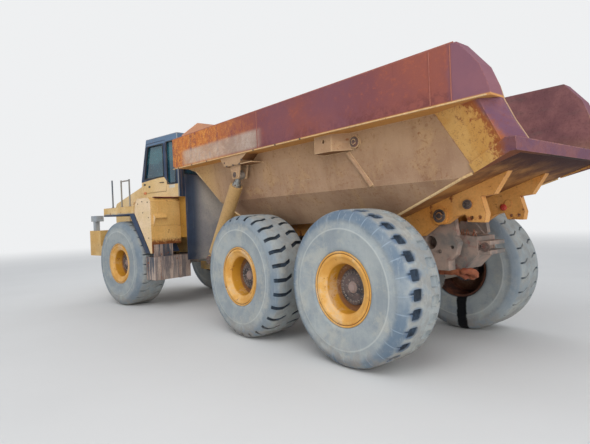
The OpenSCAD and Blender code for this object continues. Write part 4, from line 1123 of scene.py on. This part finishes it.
def dress_cab():
    """Window seals, door fittings, lamps, wipers, roof panel, instruments and seat."""
    seal_y = cab_half + 0.003
    door_window = ((0.62, 2.64), (0.62, 3.31), (1.18, 3.31), (1.36, 2.64))
    side_window = ((0.19, 2.48), (0.19, 3.33), (0.49, 3.33), (0.49, 2.48))
    fit(seal("door_seal", [(x, seal_y, z) for x, z in door_window]), plastic, "door")
    beside = [seal("cab_seals", [(x, y, z) for x, z in corners]) for corners, y in (
        (door_window, -seal_y), (side_window, seal_y), (side_window, -seal_y))]
    behind = seal("cab_seals", [(0.101, -0.78, 2.6), (0.101, 0.78, 2.6), (0.101, 0.78, 3.33),
                                (0.101, -0.78, 3.33)], 0.024)
    before = seal("cab_seals", [(1.473, -0.79, 2.66), (1.473, 0.79, 2.66), (1.28, 0.79, 3.33),
                                (1.28, -0.79, 3.33)], 0.024)
    fit(beside + [behind, before], plastic)
    fit(run_along("door_handle", [(0.62, 0.898, 2.52), (0.62, 0.925, 2.52), (0.74, 0.925, 2.52),
                                  (0.74, 0.898, 2.52)], 0.016, 10), plastic, "door")
    fit([run_along("door_hinges", [(0.536, 0.904, z), (0.536, 0.904, z + 0.09)], 0.024, 14)
         for z in (2.44, 3.16)], cab_finish)
    fit([plate("cab_marker_lamps", (x - 0.032, cab_half, z - 0.02), (x + 0.032, cab_half + 0.012, z + 0.02))
         for x, z in ((1.363, 2.523), (1.179, 2.465))], plastic)
    fit(plate("turn_lamp", (1.31, cab_half, 2.315), (1.392, 0.922, 2.363), 0.01, 3), orange_lens)
    wiper_places = (-0.35, 0.25)
    arms = [run_along("wipers", [(1.482, y, 2.675), (1.455, y + 0.02, 2.76), (1.372, y + 0.16, 3.06)], 0.012, 8)
            for y in wiper_places]
    blades = [run_along("wipers", [(1.418, y + 0.13, 2.9), (1.335, y + 0.15, 3.19)], 0.014, 8)
              for y in wiper_places]
    fit(arms + blades, plastic)
    fit(plate("roof_panel", (0.17, -0.78, 3.464), (1.17, 0.78, 3.484), 0.01, 3), cab_finish)
    gauge = turned("gauges", [(0.042, 0), (0.042, 0.014), (0.036, 0.016), (0.034, 0.008), (0.01, 0.008)], 28)
    fit(at_all(gauge, [(1.205, y, 2.562) for y in (-0.24, -0.12, 0, 0.12, 0.24)]), plastic)
    lever_places = (-0.42, -0.34, 0.38)
    levers = [run_along("levers", [(1.19, y, 2.5), (1.06, y, 2.66)], 0.014, 10) for y in lever_places]
    knobs = [ball("levers", 0.022, (1.055, y, 2.668), 16, 10) for y in lever_places]
    fit(tidy(joined(levers + knobs)), plastic)
    make_seat()


def dress_front():
    """Side boxes, fenders, bumper, lamps, tanks and the front axle."""
    torn = ((0.765, 2.112), (1.408, 2.112), (1.408, 1.668), (1.372, 1.648), (1.345, 1.662), (1.3, 1.634),
            (1.262, 1.64), (1.224, 1.618), (1.18, 1.642), (1.135, 1.622), (1.098, 1.646), (1.052, 1.626),
            (1.01, 1.652), (0.962, 1.632), (0.92, 1.655), (0.872, 1.628), (0.828, 1.64), (0.765, 1.622))
    for side in (1, -1):
        sheet = prism("torn_sheet", [(y * side, z) for y, z in torn], -0.321, -0.308, 0.002)
        moved(sheet, turn(90, "Z"))
        near, far = sorted((side * 1.26, side * 1.272))
        fit([sheet, plate("torn_sheet", (0.304, near, 1.66), (0.311, far, 2.1), 0.002, 1)], box_finish)
        near, far = sorted((side * 0.738, side * 1.305))
        fit(plate("box_top_strip", (0.335, near, 2.184), (0.425, far, 2.204), 0.004, 1), maroon)
    pair(bolts_at("box_bolts", 0.009, 0.009, [(x, 1.42, z) for x, z in (
        (0.62, 2.12), (0.42, 2.1), (0.4, 1.8), (0.42, 1.4), (0.78, 2.08), (0.6, 1.9))]), pin_steel)
    foot = turned("rail_feet", [(0.04, 0), (0.04, 0.008), (0.022, 0.012), (0.018, 0.03)], around=24)
    pair(at_all(foot, [(x, 1.34, fender_top + 0.001) for x in (1.225, 1.56, 1.95)]), grey_sheet)
    treads = [plate("fender_treads", (x, 0.86, fender_top), (x + 0.03, 1.24, fender_top + 0.008), 0.002, 1)
              for x in [1.02 + 0.075 * i for i in range(15)]]
    pair(treads, fender_finish)
    glass = turned("head_lenses", [(0.04, sunk), (0.04, 0.006), (0.034, 0.016), (0.02, 0.022),
                                   (0.008, 0.024)], 32)
    pair(at_all(moved(glass, turn(90, "Y")), [(2.979, y, 1.845) for y in (1.222, 1.308)]), clear_lens)
    rows = [(3.1, y, z) for y in (0.25, 0.75, 1.25) for z in (1.1, 1.47)]
    pair(bolts_at("bumper_bolts", 0.018, 0.02, rows, "X"), pin_steel)
    hook = ((3.09, 1.2), (3.17, 1.2), (3.17, 1.32), (3.09, 1.32))
    pair(run_along("tow_hooks", [(x, 0.45, z) for x, z in hook], 0.036, 12), pin_steel)
    cap = turned("tank_caps.001", [(0.055, sunk), (0.055, 0.018), (0.05, 0.028), (0.046, 0.03),
                                   (0.03, 0.031)], 32)
    pair(moved(cap, shift((0.47, 1.1, 1.03))), pin_steel)
    fit(axle_cover("front_axle_cover", 1.31), iron)
    fit(run_along("front_shaft", [(1.24, 0, tyre_radius), (0.55, 0, 0.885)], 0.09, 24), dark_iron)


def dress_hood():
    """Louvres, edge rib and catches of the hood."""
    inside = hood_half - 0.002
    sloping = [prism("hood_louvres", [(1.66, z + 0.03), (1.66, z + 0.044), (2.16, z - 0.092),
                                      (2.16, z - 0.106)], inside, hood_half + 0.012, 0.002)
               for z in [2.115 + 0.03 * i for i in range(6)]]
    upright = [prism("hood_louvres", [(x, 1.66), (x + 0.018, 1.66), (x + 0.018, 1.84), (x, 1.84)],
                     inside, hood_half + 0.01, 0.002) for x in [1.7 + 0.09 * i for i in range(8)]]
    pair(sloping + upright, cab_yellow, "hood")
    catch = ((inside, 1.72), (0.762, 1.72), (0.762, 1.82), (inside, 1.82))
    pair(run_along("hood_catches", [(1.6, y, z) for y, z in catch], 0.014, 10), pin_steel, "hood")
    pair(run_along("hood_rib", [(1.52, 0.6, 2.579), (2.93, 0.6, 2.194)], 0.018), cab_yellow, "hood")


def add_object(name, data, matrix):
    made = bpy.data.objects.new(name, data)
    made.matrix_world = matrix
    bpy.context.scene.collection.objects.link(made)
    return made


def set_stage():
    """A plain pale floor that fades into the backdrop, soft light and the photograph's viewpoint."""
    ground = start("floor", bpy.ops.mesh.primitive_circle_add, vertices=96, radius=120, fill_type="NGON")
    f = Finish("pale_floor", 0.1)
    f.base = f.mix(f.noise(0.5, 3), (0.66, 0.66, 0.65, 1), (0.72, 0.72, 0.71, 1))
    f.wear(0.9, edge=0)
    away = f.node("ShaderNodeVectorMath", {"operation": "LENGTH"}, {0: f.place}, output="Value")
    blend = f.node("ShaderNodeMixShader", inputs={
        0: f.rise(away, 9, 34), 1: Wire(f, f.shader.outputs[0]),
        2: f.node("ShaderNodeEmission", inputs={"Color": backdrop})})
    f.fill(f.tree.nodes["Material Output"], {"Surface": blend})
    ground.data.materials.append(f.material)

    world = bpy.data.worlds.new("sky")
    bpy.context.scene.world = world
    world.use_nodes = True
    sky = Nodes(world.node_tree)
    sky.tree.nodes.clear()
    rays = [sky.node("ShaderNodeLightPath", output=f"Is {kind} Ray") for kind in ("Camera", "Transmission")]
    light = sky.node("ShaderNodeBackground", inputs={"Color": (0.92, 0.95, 1.0, 1), "Strength": 0.75})
    shown = sky.node("ShaderNodeBackground", inputs={"Color": backdrop})
    seen = sky.node("ShaderNodeMixShader", inputs={0: rays[0].larger(rays[1]), 1: light, 2: shown})
    sky.fill(sky.tree.nodes.new("ShaderNodeOutputWorld"), {"Surface": seen})

    # Each lamp's place, size, power and spread; all look at the middle of the truck
    for name, place, size, power, spread in (
            ("key", (-9, 9, 12), 9, 700, 180), ("fill", (8, -6, 10), 9, 300, 180),
            ("low", (-17, 6, 4), 6, 90, 60)):
        lamp = bpy.data.lights.new(name, "AREA")
        lamp.size, lamp.energy, lamp.spread = size, power, math.radians(spread)
        look = (Vector((-2, 0, 1)) - Vector(place)).to_track_quat("-Z", "Y").to_matrix().to_4x4()
        add_object(name, lamp, shift(place) @ look)
    camera = bpy.data.cameras.new("camera")
    camera.lens = camera_lens
    camera.sensor_width = 36
    aim = turn(camera_yaw - 90, "Z") @ turn(90 + camera_pitch, "X") @ turn(camera_roll, "Z")
    bpy.context.scene.camera = add_object("camera", camera, shift(camera_place) @ aim)
    bpy.context.scene.view_settings.view_transform = "Standard"


make_tyres()
make_rims()
dress_bed()
dress_rear_frame()
dress_cab()
dress_front()
dress_hood()
set_stage()

bpy.context.view_layer.update()
